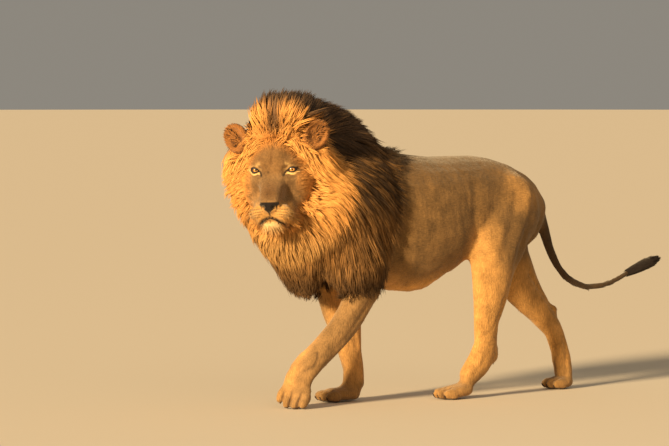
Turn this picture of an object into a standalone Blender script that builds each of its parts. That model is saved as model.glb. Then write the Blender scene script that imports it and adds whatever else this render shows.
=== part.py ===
"""A male lion at life size, walking, with its head turned to its left.

Metres, +Z up, floor at z = 0. The lion walks towards -Y and its own left side is +X.
The flesh (head, neck, trunk, legs and tail, out to the tips of the short coat) is modelled whole
and parted with thin cuts. The mane is a second whole, fitted round the neck and parted in turn.
"""

import bmesh
import bpy
import numpy as np
from math import cos, pi, radians, sin
from mathutils import Matrix, Vector
from mathutils.bvhtree import BVHTree

# ---- driving dimensions (metres) ----
GAP = 0.0004                      # clearance that parts two pieces
FLESH_VOXEL = 0.0095              # grain at which the flesh is fused
MANE_VOXEL = 0.014                # grain at which the mane is fused
FLESH_FACES = 2600                # triangles of the fused flesh before it is parted
MANE_FACES = 740                  # triangles of the fused mane before it is parted
LINING_FACES = 1400               # triangles of the plainer flesh that the mane is fitted round
LINING_ROOM = 0.009               # how far the mane's inside stands off that flesh
FLATNESS = radians(0.6)           # faces closer to flat than this are joined
RING_SIDES = 24                   # points round each lofted ring

HEAD_TURN = radians(46)           # head turned from straight ahead towards the lion's left
HEAD_ROLL = radians(1.5)          # the left side of the head is carried a little higher
EYES_MIDDLE = Vector((0.203, -0.182, 1.066))
EYE_SPACING = 0.162               # between the middles of the eyes
EYE_RADIUS = 0.0215
EYE_PROUD = 0.006                 # how far an eyeball stands out of the fused face
EAR_SPREAD = 0.176                # from the middle of the head out to the middle of each ear
EAR_BACK = -0.085                 # from the eyes back to the middle of each ear
EAR_UP = {1: 0.148, -1: 0.139}     # from the eyes up to the middle of the left and right ear
EAR_SIZE = (0.057, 0.030, 0.069)  # half width, half depth and half height of an ear
EAR_TURN = radians(22)            # the cup of an ear turned out from straight ahead
EAR_LEAN = radians(34)            # an ear leaned outwards from upright
SOLE = 0.0                        # level of the floor under all four paws


# ---- mesh tools ----
def clear_scene():
    for thing in list(bpy.data.objects):
        bpy.data.objects.remove(thing, do_unlink=True)


def material(name, colour, roughness):
    """A Principled material in one colour, not metallic."""
    made = bpy.data.materials.new(name)
    made.use_nodes = True
    shader = made.node_tree.nodes["Principled BSDF"]
    shader.inputs["Base Color"].default_value = (*colour, 1.0)
    shader.inputs["Roughness"].default_value = roughness
    shader.inputs["Metallic"].default_value = 0.0
    return made


def new_object(name, mesh, guide=False):
    thing = bpy.data.objects.new(name, mesh)
    bpy.context.scene.collection.objects.link(thing)
    if guide:
        thing.hide_render = True
        thing.display_type = "WIRE"
    return thing


def mesh_from(bm, name):
    bmesh.ops.recalc_face_normals(bm, faces=bm.faces)
    mesh = bpy.data.meshes.new(name)
    bm.to_mesh(mesh)
    bm.free()
    return mesh


def evaluated_mesh(thing):
    """The object's mesh with its modifiers applied."""
    bpy.context.view_layer.update()
    graph = bpy.context.evaluated_depsgraph_get()
    return bpy.data.meshes.new_from_object(thing.evaluated_get(graph))


def bake(thing):
    """Replace an object's mesh with what its modifiers make of it."""
    mesh = evaluated_mesh(thing)
    thing.modifiers.clear()
    thing.data = mesh
    return thing


def smooth_rows(rows, steps):
    """Carry the columns of a table through all its rows on a Catmull-Rom curve."""
    rows = np.asarray(rows, float)
    padded = np.vstack([2 * rows[0] - rows[1], rows, 2 * rows[-1] - rows[-2]])
    pieces = []
    for i in range(1, len(padded) - 2):
        before, here, there, after = padded[i - 1:i + 3]
        t = np.linspace(0, 1, steps, endpoint=False)[:, None]
        pieces.append(0.5 * (2 * here + (there - before) * t
                             + (2 * before - 5 * here + 4 * there - after) * t ** 2
                             + (3 * here - before - 3 * there + after) * t ** 3))
    pieces.append(padded[-2][None])
    return np.vstack(pieces)


def add_rings(bm, rings):
    """Skin a stack of equal rings and close both ends with a fan to their middles."""
    loops = [[bm.verts.new(p) for p in ring] for ring in rings]
    count = len(loops[0])
    for lower, upper in zip(loops, loops[1:]):
        for i in range(count):
            j = (i + 1) % count
            bm.faces.new((lower[i], lower[j], upper[j], upper[i]))
    for loop, ring in ((loops[0][::-1], rings[0]), (loops[-1], rings[-1])):
        middle = bm.verts.new(np.mean(ring, axis=0))
        for i in range(count):
            bm.faces.new((loop[i], loop[(i + 1) % count], middle))


def add_loft(bm, stations, side=(1, 0, 0), square=1.0, steps=4, dome_depth=0.7):
    """Loft ellipses along a path, each row being x, y, z, half size along side, half size across.

    A square under 1 fills the ellipse out towards a rounded box. The ends are domed.
    """
    rows = smooth_rows(stations, steps)
    centres = rows[:, :3]
    along = np.gradient(centres, axis=0)
    along /= np.linalg.norm(along, axis=1)[:, None]
    wide = np.asarray(side, float) - along * (along @ np.asarray(side, float))[:, None]
    wide /= np.linalg.norm(wide, axis=1)[:, None]
    deep = np.cross(along, wide)
    angle = np.linspace(0, 2 * pi, RING_SIDES, endpoint=False)
    across = np.sign(np.cos(angle)) * np.abs(np.cos(angle)) ** square
    up = np.sign(np.sin(angle)) * np.abs(np.sin(angle)) ** square

    def ring(i, shrink, push):
        half_wide, half_deep = rows[i, 3:5] * shrink
        middle = centres[i] + along[i] * push
        return (middle + np.outer(across, wide[i]) * half_wide
                + np.outer(up, deep[i]) * half_deep)

    dome = [radians(a) for a in (72, 48, 24)]
    first = min(rows[0, 3], rows[0, 4])
    last = min(rows[-1, 3], rows[-1, 4])
    rings = [ring(0, cos(a), -first * sin(a) * dome_depth) for a in dome]
    rings += [ring(i, 1.0, 0.0) for i in range(len(rows))]
    rings += [ring(-1, cos(a), last * sin(a) * dome_depth) for a in reversed(dome)]
    add_rings(bm, rings)


def add_ellipsoid(bm, centre, radii, turn=None, detail=3):
    """An ellipsoid from an icosphere, turned by a matrix where one is given."""
    size = Matrix.Diagonal((*radii, 1.0))
    turn = Matrix.Identity(4) if turn is None else turn.to_4x4()
    place = Matrix.Translation(centre) @ turn @ size
    bmesh.ops.create_icosphere(bm, subdivisions=detail, radius=1.0, matrix=place)


def fuse(name, bm, voxel, smoothing, faces):
    """Fuse overlapping closed shapes into one skin, smooth it and thin it to a face count."""
    whole = new_object(name, mesh_from(bm, name), guide=True)
    remesh = whole.modifiers.new("fuse", "REMESH")
    remesh.mode = "VOXEL"
    remesh.voxel_size = voxel
    relax = whole.modifiers.new("relax", "SMOOTH")
    relax.factor = 0.5
    relax.iterations = smoothing
    bake(whole)
    thin = whole.modifiers.new("thin", "DECIMATE")
    thin.ratio = faces / (2.0 * len(whole.data.polygons))
    bake(whole)
    return whole


def boolean(thing, cutter, operation):
    cut = thing.modifiers.new(operation.lower(), "BOOLEAN")
    cut.operation = operation
    cut.solver = "EXACT"
    cut.object = cutter
    bake(thing)


def keep_main_body(thing):
    """Keep only the largest connected body of a piece."""
    bm = bmesh.new()
    bm.from_mesh(thing.data)
    left = set(bm.faces)
    groups = []
    while left:
        stack = [left.pop()]
        group = [stack[0]]
        while stack:
            for edge in stack.pop().edges:
                for face in edge.link_faces:
                    if face in left:
                        left.remove(face)
                        stack.append(face)
                        group.append(face)
        groups.append(group)
    groups.sort(key=len)
    for group in groups[:-1]:
        bmesh.ops.delete(bm, geom=group, context="FACES")
    bm.to_mesh(thing.data)
    bm.free()


def copy_of(thing, name, guide=False):
    return new_object(name, thing.data.copy(), guide)


def hull(name, points, grow=0.0):
    """A convex region through the given corners, each of its faces moved out by at least grow."""
    points = [Vector(p) for p in points]
    middle = sum(points, Vector()) / len(points)
    bm = bmesh.new()
    for point in points:
        bm.verts.new(point)
    bmesh.ops.convex_hull(bm, input=bm.verts)
    bmesh.ops.recalc_face_normals(bm, faces=bm.faces)
    nearest = min(abs((face.verts[0].co - middle).dot(face.normal)) for face in bm.faces)
    for vert in bm.verts:
        vert.co = middle + (vert.co - middle) * (1 + grow / nearest)
    return new_object(name, mesh_from(bm, name), guide=True)


def part_off(whole, name, corners):
    """Cut the region out of the whole as a piece of its own, leaving a thin gap round it."""
    piece = copy_of(whole, name)
    region = hull("region", corners)
    boolean(piece, region, "INTERSECT")
    keep_main_body(piece)
    wider = hull("wider_region", corners, GAP)
    boolean(whole, wider, "DIFFERENCE")
    keep_main_body(whole)
    for guide in (region, wider):
        bpy.data.objects.remove(guide, do_unlink=True)
    return piece


def cut_away(thing, point, normal):
    """Remove what lies on the normal's side of a plane and close the flat face left."""
    bm = bmesh.new()
    bm.from_mesh(thing.data)
    geometry = bm.verts[:] + bm.edges[:] + bm.faces[:]
    bmesh.ops.bisect_plane(bm, geom=geometry, dist=1e-6, plane_co=point, plane_no=normal,
                           clear_outer=True)
    rim = [edge for edge in bm.edges if edge.is_boundary]
    bmesh.ops.holes_fill(bm, edges=rim, sides=0)
    bmesh.ops.triangulate(bm, faces=[face for face in bm.faces if len(face.verts) > 3])
    bm.to_mesh(thing.data)
    bm.free()


def slice_limb(limb, names, planes):
    """Split a limb along planes, given from its root outwards as point and outward direction."""
    pieces = []
    for i, name in enumerate(names):
        piece = limb if i == len(names) - 1 else copy_of(limb, name)
        piece.name = name
        if i < len(planes):
            point, normal = Vector(planes[i][0]), Vector(planes[i][1]).normalized()
            cut_away(piece, point - normal * GAP / 2, normal)
        if i > 0:
            point, normal = Vector(planes[i - 1][0]), Vector(planes[i - 1][1]).normalized()
            cut_away(piece, point + normal * GAP / 2, -normal)
        keep_main_body(piece)
        pieces.append(piece)
    return pieces


# ---- head frame: l to the lion's left, f forwards through the nose, u up ----
FORWARD = Vector((sin(HEAD_TURN), -cos(HEAD_TURN), 0.0))
ROLL = Matrix.Rotation(HEAD_ROLL, 3, FORWARD)
LEFT = ROLL @ Vector((cos(HEAD_TURN), sin(HEAD_TURN), 0.0))
UP = ROLL @ Vector((0.0, 0.0, 1.0))
HEAD_AXES = Matrix((LEFT, FORWARD, UP)).transposed()


def on_head(l, f, u):
    return EYES_MIDDLE + LEFT * l + FORWARD * f + UP * u


def head_turned(angle=0.0):
    """The head's axes, turned about its up axis."""
    return HEAD_AXES @ Matrix.Rotation(angle, 3, "Z")


def head_rows(rows):
    """Loft rows given as l, f, u, half width, half height in the head's own frame."""
    return [(*on_head(l, f, u), wide, deep) for l, f, u, wide, deep in rows]


def add_head(bm):
    """Skull, forehead, cheeks, muzzle with its two whisker pads, and the chin."""
    add_ellipsoid(bm, on_head(0, -0.125, 0.045), (0.118, 0.150, 0.112), head_turned())
    add_ellipsoid(bm, on_head(0, -0.062, 0.052), (0.100, 0.078, 0.074), head_turned())
    for sign in (-1, 1):
        add_ellipsoid(bm, on_head(sign * 0.082, -0.100, -0.070), (0.066, 0.105, 0.105), head_turned())
        add_ellipsoid(bm, on_head(sign * 0.080, -0.030, 0.022), (0.040, 0.044, 0.028), head_turned())
        add_ellipsoid(bm, on_head(sign * 0.098, -0.035, -0.052), (0.036, 0.060, 0.040), head_turned())
        add_ellipsoid(bm, on_head(sign * 0.046, 0.062, -0.185), (0.049, 0.060, 0.042),
                      head_turned(-sign * 0.30))
    bridge = [(0, -0.075, -0.010, 0.092, 0.070), (0, -0.020, -0.052, 0.076, 0.066),
              (0, 0.030, -0.092, 0.062, 0.062), (0, 0.078, -0.126, 0.056, 0.052),
              (0, 0.112, -0.152, 0.050, 0.040)]
    add_loft(bm, head_rows(bridge), side=LEFT, square=0.85)
    upper_lip = [(0, -0.060, -0.150, 0.105, 0.070), (0, 0.010, -0.168, 0.090, 0.060),
                 (0, 0.070, -0.178, 0.066, 0.044), (0, 0.098, -0.178, 0.046, 0.034)]
    add_loft(bm, head_rows(upper_lip), side=LEFT)
    jaw = [(0, -0.130, -0.165, 0.100, 0.075), (0, -0.050, -0.205, 0.086, 0.056),
           (0, 0.020, -0.232, 0.064, 0.042), (0, 0.062, -0.242, 0.046, 0.036)]
    add_loft(bm, head_rows(jaw), side=LEFT)
    add_ellipsoid(bm, on_head(0, 0.058, -0.244), (0.046, 0.036, 0.040), head_turned())


def add_neck_and_trunk(bm):
    """One loft from the back of the skull to the shoulders, and one from breast to rump."""
    neck = [(0.130, -0.105, 1.050, 0.125, 0.120), (0.085, 0.000, 0.985, 0.140, 0.165),
            (0.045, 0.120, 0.920, 0.158, 0.205), (0.015, 0.240, 0.870, 0.175, 0.225),
            (0.000, 0.360, 0.840, 0.190, 0.240)]
    add_loft(bm, neck, square=0.95)
    # x, y, z of the middle, half width, half height
    trunk = [(0.000, 0.105, 0.745, 0.120, 0.140), (0.000, 0.200, 0.795, 0.178, 0.232),
             (0.000, 0.330, 0.812, 0.208, 0.292), (0.000, 0.480, 0.820, 0.218, 0.306),
             (0.000, 0.640, 0.812, 0.224, 0.319), (0.000, 0.780, 0.836, 0.222, 0.293),
             (0.000, 0.920, 0.873, 0.202, 0.246), (0.000, 1.050, 0.886, 0.178, 0.226),
             (0.000, 1.170, 0.868, 0.166, 0.210), (0.000, 1.275, 0.835, 0.142, 0.186),
             (0.000, 1.350, 0.800, 0.105, 0.150)]
    add_loft(bm, trunk, square=0.93)
    for sign in (-1, 1):
        lean = Matrix.Rotation(radians(24), 3, "X")
        add_ellipsoid(bm, (sign * 0.148, 0.290, 0.835), (0.075, 0.145, 0.265), lean)
        add_ellipsoid(bm, (sign * 0.165, 0.330, 0.660), (0.060, 0.120, 0.130))
        add_ellipsoid(bm, (sign * 0.105, 1.180, 0.850), (0.085, 0.165, 0.190))
    add_ellipsoid(bm, (0, 0.470, 1.040), (0.085, 0.190, 0.085))
    # the loose skin under the belly and the fold to each stifle
    add_ellipsoid(bm, (0, 0.665, 0.562), (0.120, 0.160, 0.074))
    add_ellipsoid(bm, (0.125, 0.985, 0.700), (0.045, 0.100, 0.080))
    add_ellipsoid(bm, (-0.120, 1.120, 0.720), (0.045, 0.120, 0.080))


def add_paw(bm, heel, knuckle, width, drop=0.0, tilt=0.0):
    """A foot from heel to knuckles, then four toes fanned out and drooping by the drop angle.

    The tilt lowers the lion's left edge of the foot.
    """
    heel = Vector(heel)
    knuckle = Vector(knuckle)
    ahead = Vector((knuckle.x - heel.x, knuckle.y - heel.y, 0)).normalized()
    beside = Vector((-ahead.y, ahead.x, -tilt)).normalized()
    rows = [(*heel, width * 0.42, 0.040), (*heel.lerp(knuckle, 0.5), width * 0.48, 0.038),
            (*knuckle, width * 0.50, 0.035)]
    add_loft(bm, rows, side=beside)
    nail_way = ahead * cos(drop) - Vector((0, 0, sin(drop)))
    axes = Matrix((beside, nail_way, beside.cross(nail_way))).transposed()
    for place in (-1.5, -0.5, 0.5, 1.5):
        reach = 0.036 if abs(place) < 1 else 0.016
        middle = knuckle + beside * (place * width * 0.255) + nail_way * reach
        middle.z -= 0.005
        toe_axes = axes @ Matrix.Rotation(-place * 0.10, 3, "Z")
        add_ellipsoid(bm, middle, (width * 0.150, 0.042, 0.031), toe_axes)


def add_legs(bm):
    """Each leg is one loft from its root to the ankle, with the paw's toes at its end."""
    # left foreleg, reaching forwards and turned out a little, its toes just on the floor
    add_loft(bm, [(0.150, 0.235, 0.740, 0.072, 0.125), (0.150, 0.318, 0.620, 0.072, 0.112),
                  (0.142, 0.332, 0.520, 0.070, 0.095), (0.127, 0.256, 0.375, 0.067, 0.076),
                  (0.108, 0.158, 0.268, 0.066, 0.064), (0.092, 0.070, 0.186, 0.072, 0.055),
                  (0.084, 0.020, 0.118, 0.073, 0.045)], side=(0.866, 0.5, 0))
    add_ellipsoid(bm, (0.145, 0.383, 0.520), (0.045, 0.046, 0.066))
    add_paw(bm, (0.070, 0.040, 0.128), (0.092, 0.002, 0.066), 0.156, radians(58), 0.16)
    # right foreleg, planted under the shoulder
    add_loft(bm, [(-0.150, 0.270, 0.740, 0.072, 0.130), (-0.148, 0.355, 0.620, 0.072, 0.120),
                  (-0.140, 0.385, 0.520, 0.066, 0.118), (-0.126, 0.405, 0.400, 0.060, 0.106),
                  (-0.112, 0.420, 0.310, 0.055, 0.082), (-0.102, 0.434, 0.215, 0.053, 0.062),
                  (-0.100, 0.450, 0.140, 0.054, 0.055), (-0.100, 0.450, 0.075, 0.056, 0.057)])
    add_ellipsoid(bm, (-0.140, 0.455, 0.525), (0.045, 0.046, 0.066))
    add_paw(bm, (-0.100, 0.450, 0.036), (-0.104, 0.332, 0.032), 0.146)
    # left hind leg, planted well forwards under the belly
    add_loft(bm, [(0.105, 1.165, 0.870, 0.080, 0.150), (0.135, 1.110, 0.745, 0.088, 0.155),
                  (0.150, 1.055, 0.620, 0.080, 0.127), (0.144, 1.040, 0.470, 0.066, 0.096),
                  (0.130, 1.028, 0.350, 0.052, 0.073), (0.112, 1.036, 0.245, 0.046, 0.066),
                  (0.100, 1.010, 0.165, 0.048, 0.070), (0.092, 0.955, 0.100, 0.053, 0.056)])
    add_ellipsoid(bm, (0.104, 1.086, 0.205), (0.028, 0.036, 0.060))
    add_paw(bm, (0.090, 0.945, 0.046), (0.084, 0.852, 0.031), 0.138)
    # right hind leg, trailing and about to push off
    add_loft(bm, [(-0.105, 1.235, 0.870, 0.080, 0.150), (-0.130, 1.290, 0.745, 0.086, 0.158),
                  (-0.148, 1.345, 0.620, 0.075, 0.136), (-0.146, 1.392, 0.540, 0.066, 0.120),
                  (-0.140, 1.455, 0.450, 0.058, 0.096), (-0.130, 1.535, 0.360, 0.050, 0.072),
                  (-0.120, 1.592, 0.285, 0.044, 0.058), (-0.112, 1.620, 0.215, 0.043, 0.052),
                  (-0.104, 1.638, 0.145, 0.045, 0.052), (-0.099, 1.645, 0.075, 0.049, 0.052)])
    add_ellipsoid(bm, (-0.120, 1.600, 0.362), (0.026, 0.030, 0.044))
    add_paw(bm, (-0.098, 1.662, 0.036), (-0.100, 1.610, 0.031), 0.136)


TAIL = [(0.000, 1.330, 0.935, 0.045, 0.045), (0.000, 1.396, 0.880, 0.042, 0.044),
        (0.000, 1.440, 0.790, 0.034, 0.036), (0.003, 1.489, 0.655, 0.027, 0.028),
        (0.007, 1.566, 0.542, 0.024, 0.025), (0.010, 1.690, 0.484, 0.022, 0.023),
        (0.012, 1.828, 0.497, 0.020, 0.021), (0.012, 1.962, 0.552, 0.019, 0.020)]
TUFT = [(0.012, 1.925, 0.537, 0.017, 0.018), (0.012, 1.995, 0.566, 0.028, 0.028),
        (0.012, 2.060, 0.590, 0.030, 0.030), (0.012, 2.115, 0.602, 0.020, 0.020),
        (0.012, 2.160, 0.606, 0.006, 0.006)]


def add_tail(bm):
    add_loft(bm, TAIL)
    add_loft(bm, TUFT)


def eye_middles(flesh):
    """Where the left and right eyeballs lie: their fronts stand a little proud of the fused face."""
    tree = BVHTree.FromPolygons([v.co for v in flesh.data.vertices],
                                [p.vertices for p in flesh.data.polygons])
    starts = [on_head(sign * EYE_SPACING / 2, 0.3, 0) for sign in (1, -1)]
    reach = sum(tree.ray_cast(start, -FORWARD)[3] for start in starts) / 2
    return [start - FORWARD * (reach + EYE_RADIUS - EYE_PROUD) for start in starts]


def ear_frame(sign):
    """The middle of an ear and its axes: across, out through the cup, and up."""
    middle = on_head(sign * EAR_SPREAD, EAR_BACK, EAR_UP[sign])
    return middle, head_turned(-sign * EAR_TURN) @ Matrix.Rotation(sign * EAR_LEAN, 3, "Y")


def ear_ellipsoid(name, sign, share, depth, forward, detail):
    """An ellipsoid on an ear's frame: shares of its size, and how far forward it is set."""
    middle, turn = ear_frame(sign)
    wide, deep, high = EAR_SIZE
    bm = bmesh.new()
    add_ellipsoid(bm, middle + turn @ Vector((0, forward * deep, 0)),
                  (wide * share, deep * depth, high * share), turn, detail)
    return new_object(name, mesh_from(bm, name))


def take_out(thing, cutter):
    boolean(thing, cutter, "DIFFERENCE")
    bpy.data.objects.remove(cutter, do_unlink=True)


def make_ear(name, sign):
    """A round cupped ear: one ellipsoid with a smaller one taken out of its front."""
    ear = ear_ellipsoid(name, sign, 1.0, 1.0, 0.0, 3)
    take_out(ear, ear_ellipsoid("ear_cup", sign, 0.82, 0.82, 0.70, 2))
    return ear


def clear_of_ear(mane, sign):
    """Open the mane round an ear and in front of its cup."""
    take_out(mane, ear_ellipsoid("ear_room", sign, 1.12, 1.25, 0.0, 2))
    take_out(mane, ear_ellipsoid("ear_view", sign, 1.12, 3.6, 2.4, 2))


def swollen(thing, name, by):
    """A copy of a solid with its surface moved outwards."""
    grown = copy_of(thing, name, guide=True)
    swell = grown.modifiers.new("swell", "DISPLACE")
    swell.mid_level = 0.0
    swell.strength = by
    bake(grown)
    return grown


# ---- the whole flesh, then its parts ----
def build_flesh(name, faces):
    bm = bmesh.new()
    add_head(bm)
    add_neck_and_trunk(bm)
    add_legs(bm)
    add_tail(bm)
    flesh = fuse(name, bm, FLESH_VOXEL, 10, faces)
    cut_away(flesh, Vector((0, 0, SOLE)), Vector((0, 0, -1)))
    return flesh


def build_mane():
    """The mane's outline: ruff, crest, cape and the apron that hangs from the breast."""
    bm = bmesh.new()
    ruff = [(0, -0.260, 0.005, 0.205, 0.285), (0, -0.200, -0.005, 0.255, 0.345),
            (0, -0.145, -0.020, 0.264, 0.348), (0, -0.105, -0.035, 0.225, 0.300)]
    add_loft(bm, head_rows(ruff), side=LEFT, dome_depth=0.08)
    crest = [(0.115, -0.080, 1.245, 0.120, 0.145), (0.080, 0.020, 1.225, 0.135, 0.175),
             (0.030, 0.150, 1.185, 0.145, 0.214), (0.000, 0.290, 1.115, 0.160, 0.220),
             (0.000, 0.420, 1.040, 0.165, 0.190), (0.000, 0.510, 1.000, 0.125, 0.130)]
    add_loft(bm, crest, dome_depth=0.5)
    cape = [(0.075, 0.000, 0.950, 0.235, 0.270), (0.045, 0.090, 0.905, 0.262, 0.300),
            (0.020, 0.210, 0.885, 0.278, 0.302), (0.000, 0.330, 0.890, 0.278, 0.294),
            (0.000, 0.430, 0.892, 0.262, 0.262)]
    add_loft(bm, cape, dome_depth=0.3)
    apron = [(0.070, -0.020, 0.830, 0.150, 0.120), (0.030, 0.040, 0.700, 0.165, 0.105),
             (0.005, 0.095, 0.590, 0.140, 0.080), (-0.005, 0.110, 0.510, 0.085, 0.050)]
    add_loft(bm, apron)
    for sign in (-1, 1):
        add_ellipsoid(bm, (sign * 0.172, 0.275, 0.638), (0.116, 0.155, 0.150))
    return fuse("mane", bm, MANE_VOXEL, 12, MANE_FACES)


def box(low, high):
    """The eight corners of an upright box."""
    return [(x, y, z) for x in (low[0], high[0]) for y in (low[1], high[1])
            for z in (low[2], high[2])]


def head_box(low, high):
    """The eight corners of a box in the head's own frame."""
    return [on_head(*corner) for corner in box(low, high)]


def slab(x_from, x_to, outline):
    """A region of one thickness across the lion, from an outline in y and z."""
    return [(x, y, z) for x in (x_from, x_to) for y, z in outline]


def leg_region(sign, inner_high, outline_high, inner_low, outline_low):
    """A region round one leg: its inner wall leans in under the trunk, so it takes the whole foot."""
    return [(sign * x, y, z) for inner, outline in ((inner_high, outline_high), (inner_low, outline_low))
            for x in (inner, 0.30) for y, z in outline]


def part_flesh(flesh):
    """Part the flesh into head, neck, trunk, legs and tail, each leg and the tail in lengths."""
    tail = part_off(flesh, "tail", slab(-0.052, 0.052, [(1.385, 1.00), (1.435, 0.62), (1.46, 0.40),
                                                        (2.30, 0.40), (2.30, 0.80), (1.60, 1.00)]))
    tail_cuts = [((0, 1.478, 0.680), (0, 0.35, -0.94)), ((0.01, 1.690, 0.484), (0, 1, 0)),
                 ((0.01, 1.945, 0.546), (0, 0.93, 0.37))]
    parts = slice_limb(tail, ["tail_root", "tail_middle", "tail_end", "tail_tuft"], tail_cuts)

    head = part_off(flesh, "head", head_box((-0.195, -0.185, -0.335), (0.195, 0.30, 0.30)))
    nose = part_off(head, "nose", [on_head(l, f, u) for f in (0.112, 0.20) for l, u in
                                   ((-0.052, -0.138), (0.052, -0.138), (0.052, -0.152),
                                    (-0.052, -0.152), (-0.012, -0.190), (0.012, -0.190))])
    jaw = part_off(head, "jaw", [on_head(l, f, u) for l in (-0.14, 0.14) for f, u in
                                 ((0.16, -0.186), (-0.055, -0.262), (-0.055, -0.36), (0.16, -0.36))])
    neck = part_off(flesh, "neck", slab(-0.40, 0.40, [(-0.40, 1.40), (0.42, 1.40), (0.33, 1.14),
                                                      (0.045, 0.80), (-0.40, 0.80)]))
    parts += [head, nose, jaw, neck]

    fore_names = ["foreleg_{}_upper", "foreleg_{}_lower", "forepaw_{}"]
    hind_names = ["thigh_{}", "shank_{}", "hock_{}", "hindpaw_{}"]
    limbs = [
        ("left", fore_names,
         leg_region(1, 0.085, [(0.02, 0.70), (0.47, 0.62)], -0.03,
                    [(0.46, 0.44), (0.02, 0.50), (-0.25, 0.20), (-0.25, -0.1), (0.2, -0.1)]),
         [((0.140, 0.330, 0.500), (0, -0.25, -0.97)), ((0.095, 0.095, 0.205), (-0.1, -0.6, -0.8))]),
        ("right", fore_names,
         leg_region(-1, 0.085, [(0.05, 0.70), (0.53, 0.62)], -0.01,
                    [(0.60, 0.44), (0.60, -0.1), (0.10, -0.1), (0.15, 0.46)]),
         [((-0.140, 0.385, 0.490), (0, 0.1, -1)), ((-0.10, 0.450, 0.120), (0, 0, -1))]),
        ("left", hind_names,
         leg_region(1, 0.060, [(0.86, 0.68), (1.02, 0.82), (1.28, 0.84), (1.36, 0.72)], 0.0,
                    [(0.84, 0.52), (1.30, 0.52), (1.22, -0.1), (0.65, -0.1)]),
         [((0.148, 1.045, 0.560), (0, -0.1, -1)), ((0.110, 1.040, 0.255), (0, 0, -1)),
          ((0.092, 0.960, 0.100), (0, -0.6, -0.8))]),
        ("right", hind_names,
         leg_region(-1, 0.060, [(1.08, 0.70), (1.12, 0.84), (1.34, 0.84), (1.45, 0.74)], 0.0,
                    [(1.16, 0.52), (1.68, 0.52), (1.80, -0.1), (1.42, -0.1)]),
         [((-0.146, 1.392, 0.545), (0, 0.5, -0.87)), ((-0.118, 1.600, 0.285), (0, 0.3, -1)),
          ((-0.100, 1.642, 0.090), (0, 0, -1))]),
    ]
    for side, names, region, cuts in limbs:
        limb = part_off(flesh, "limb", region)
        parts += slice_limb(limb, [name.format(side) for name in names], cuts)
    parts += slice_limb(flesh, ["shoulders", "barrel", "rump"],
                        [((0, 0.560, 0.8), (0, 1, 0)), ((0, 1.000, 0.8), (0, 1, 0))])
    return parts


def part_mane(mane):
    """Part the mane into the ruff, the crest, the apron and its two sides."""
    ruff = part_off(mane, "mane_ruff", head_box((-0.42, -0.165, -0.42), (0.42, 0.20, 0.42)))
    crest = part_off(mane, "mane_crest", box((-0.5, -0.5, 1.135), (0.5, 0.8, 1.5)))
    apron = part_off(mane, "mane_apron", box((-0.5, -0.5, 0.3), (0.5, 0.8, 0.735)))
    right = part_off(mane, "mane_right", box((-0.5, -0.6, 0.5), (0.02, 0.8, 1.3)))
    mane.name = "mane_left"
    return [ruff, crest, apron, right, mane]


FINISHES = {
    "coat": ((0.50, 0.32, 0.15), 0.85), "mane": ((0.16, 0.09, 0.04), 0.90),
    "ruff": ((0.70, 0.40, 0.13), 0.90), "eye": ((0.42, 0.26, 0.06), 0.15),
    "nose": ((0.035, 0.020, 0.016), 0.45), "tuft": ((0.05, 0.03, 0.02), 0.90),
}


def finish_of(name):
    if name == "mane_ruff":
        return "ruff"
    if name.startswith("mane"):
        return "mane"
    if name.startswith("eye"):
        return "eye"
    return {"nose": "nose", "tail_tuft": "tuft"}.get(name, "coat")


def tidy(thing):
    """Merge what the cuts left too close together and triangulate."""
    bm = bmesh.new()
    bm.from_mesh(thing.data)
    bmesh.ops.dissolve_degenerate(bm, edges=bm.edges, dist=1e-5)
    bmesh.ops.dissolve_limit(bm, verts=bm.verts, edges=bm.edges, angle_limit=FLATNESS)
    bmesh.ops.triangulate(bm, faces=bm.faces)
    bm.to_mesh(thing.data)
    bm.free()
    thing.hide_render = False
    thing.display_type = "TEXTURED"


def centre_on_floor(parts):
    """Move every part so that the whole stands over the origin."""
    points = np.array([v.co for part in parts for v in part.data.vertices])
    low, high = points.min(axis=0), points.max(axis=0)
    shift = Matrix.Translation((-(low[0] + high[0]) / 2, -(low[1] + high[1]) / 2, -low[2]))
    for part in parts:
        part.data.transform(shift)


def main():
    clear_scene()
    flesh = build_flesh("flesh", FLESH_FACES)
    lining = build_flesh("lining", LINING_FACES)
    mane = build_mane()
    eyes = []
    for side, middle in zip(("left", "right"), eye_middles(flesh)):
        bm = bmesh.new()
        add_ellipsoid(bm, middle, [EYE_RADIUS] * 3, detail=2)
        eyes.append(new_object("eye_" + side, mesh_from(bm, "eye_" + side)))
    for eye in eyes:
        take_out(flesh, swollen(eye, "eye_room", GAP * 1.5))
    near_flesh = swollen(flesh, "near_flesh", GAP * 3)
    mane_lining = swollen(lining, "mane_lining", LINING_ROOM)
    ears = []
    for side, sign in (("left", 1), ("right", -1)):
        ear = make_ear("ear_" + side, sign)
        boolean(ear, near_flesh, "DIFFERENCE")
        keep_main_body(ear)
        clear_of_ear(mane, sign)
        ears.append(ear)
    for cutter in (mane_lining, near_flesh):
        boolean(mane, cutter, "DIFFERENCE")
        keep_main_body(mane)
    for guide in (near_flesh, lining, mane_lining):
        bpy.data.objects.remove(guide, do_unlink=True)
    parts = eyes + ears + part_flesh(flesh) + part_mane(mane)
    finishes = {name: material(name, *look) for name, look in FINISHES.items()}
    for part in parts:
        tidy(part)
        part.data.materials.clear()
        part.data.materials.append(finishes[finish_of(part.name)])
    centre_on_floor(parts)


main()
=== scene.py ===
from math import cos, pi, radians, sin, tau

import bmesh
import bpy
import numpy as np
from mathutils import Matrix, Vector


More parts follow.
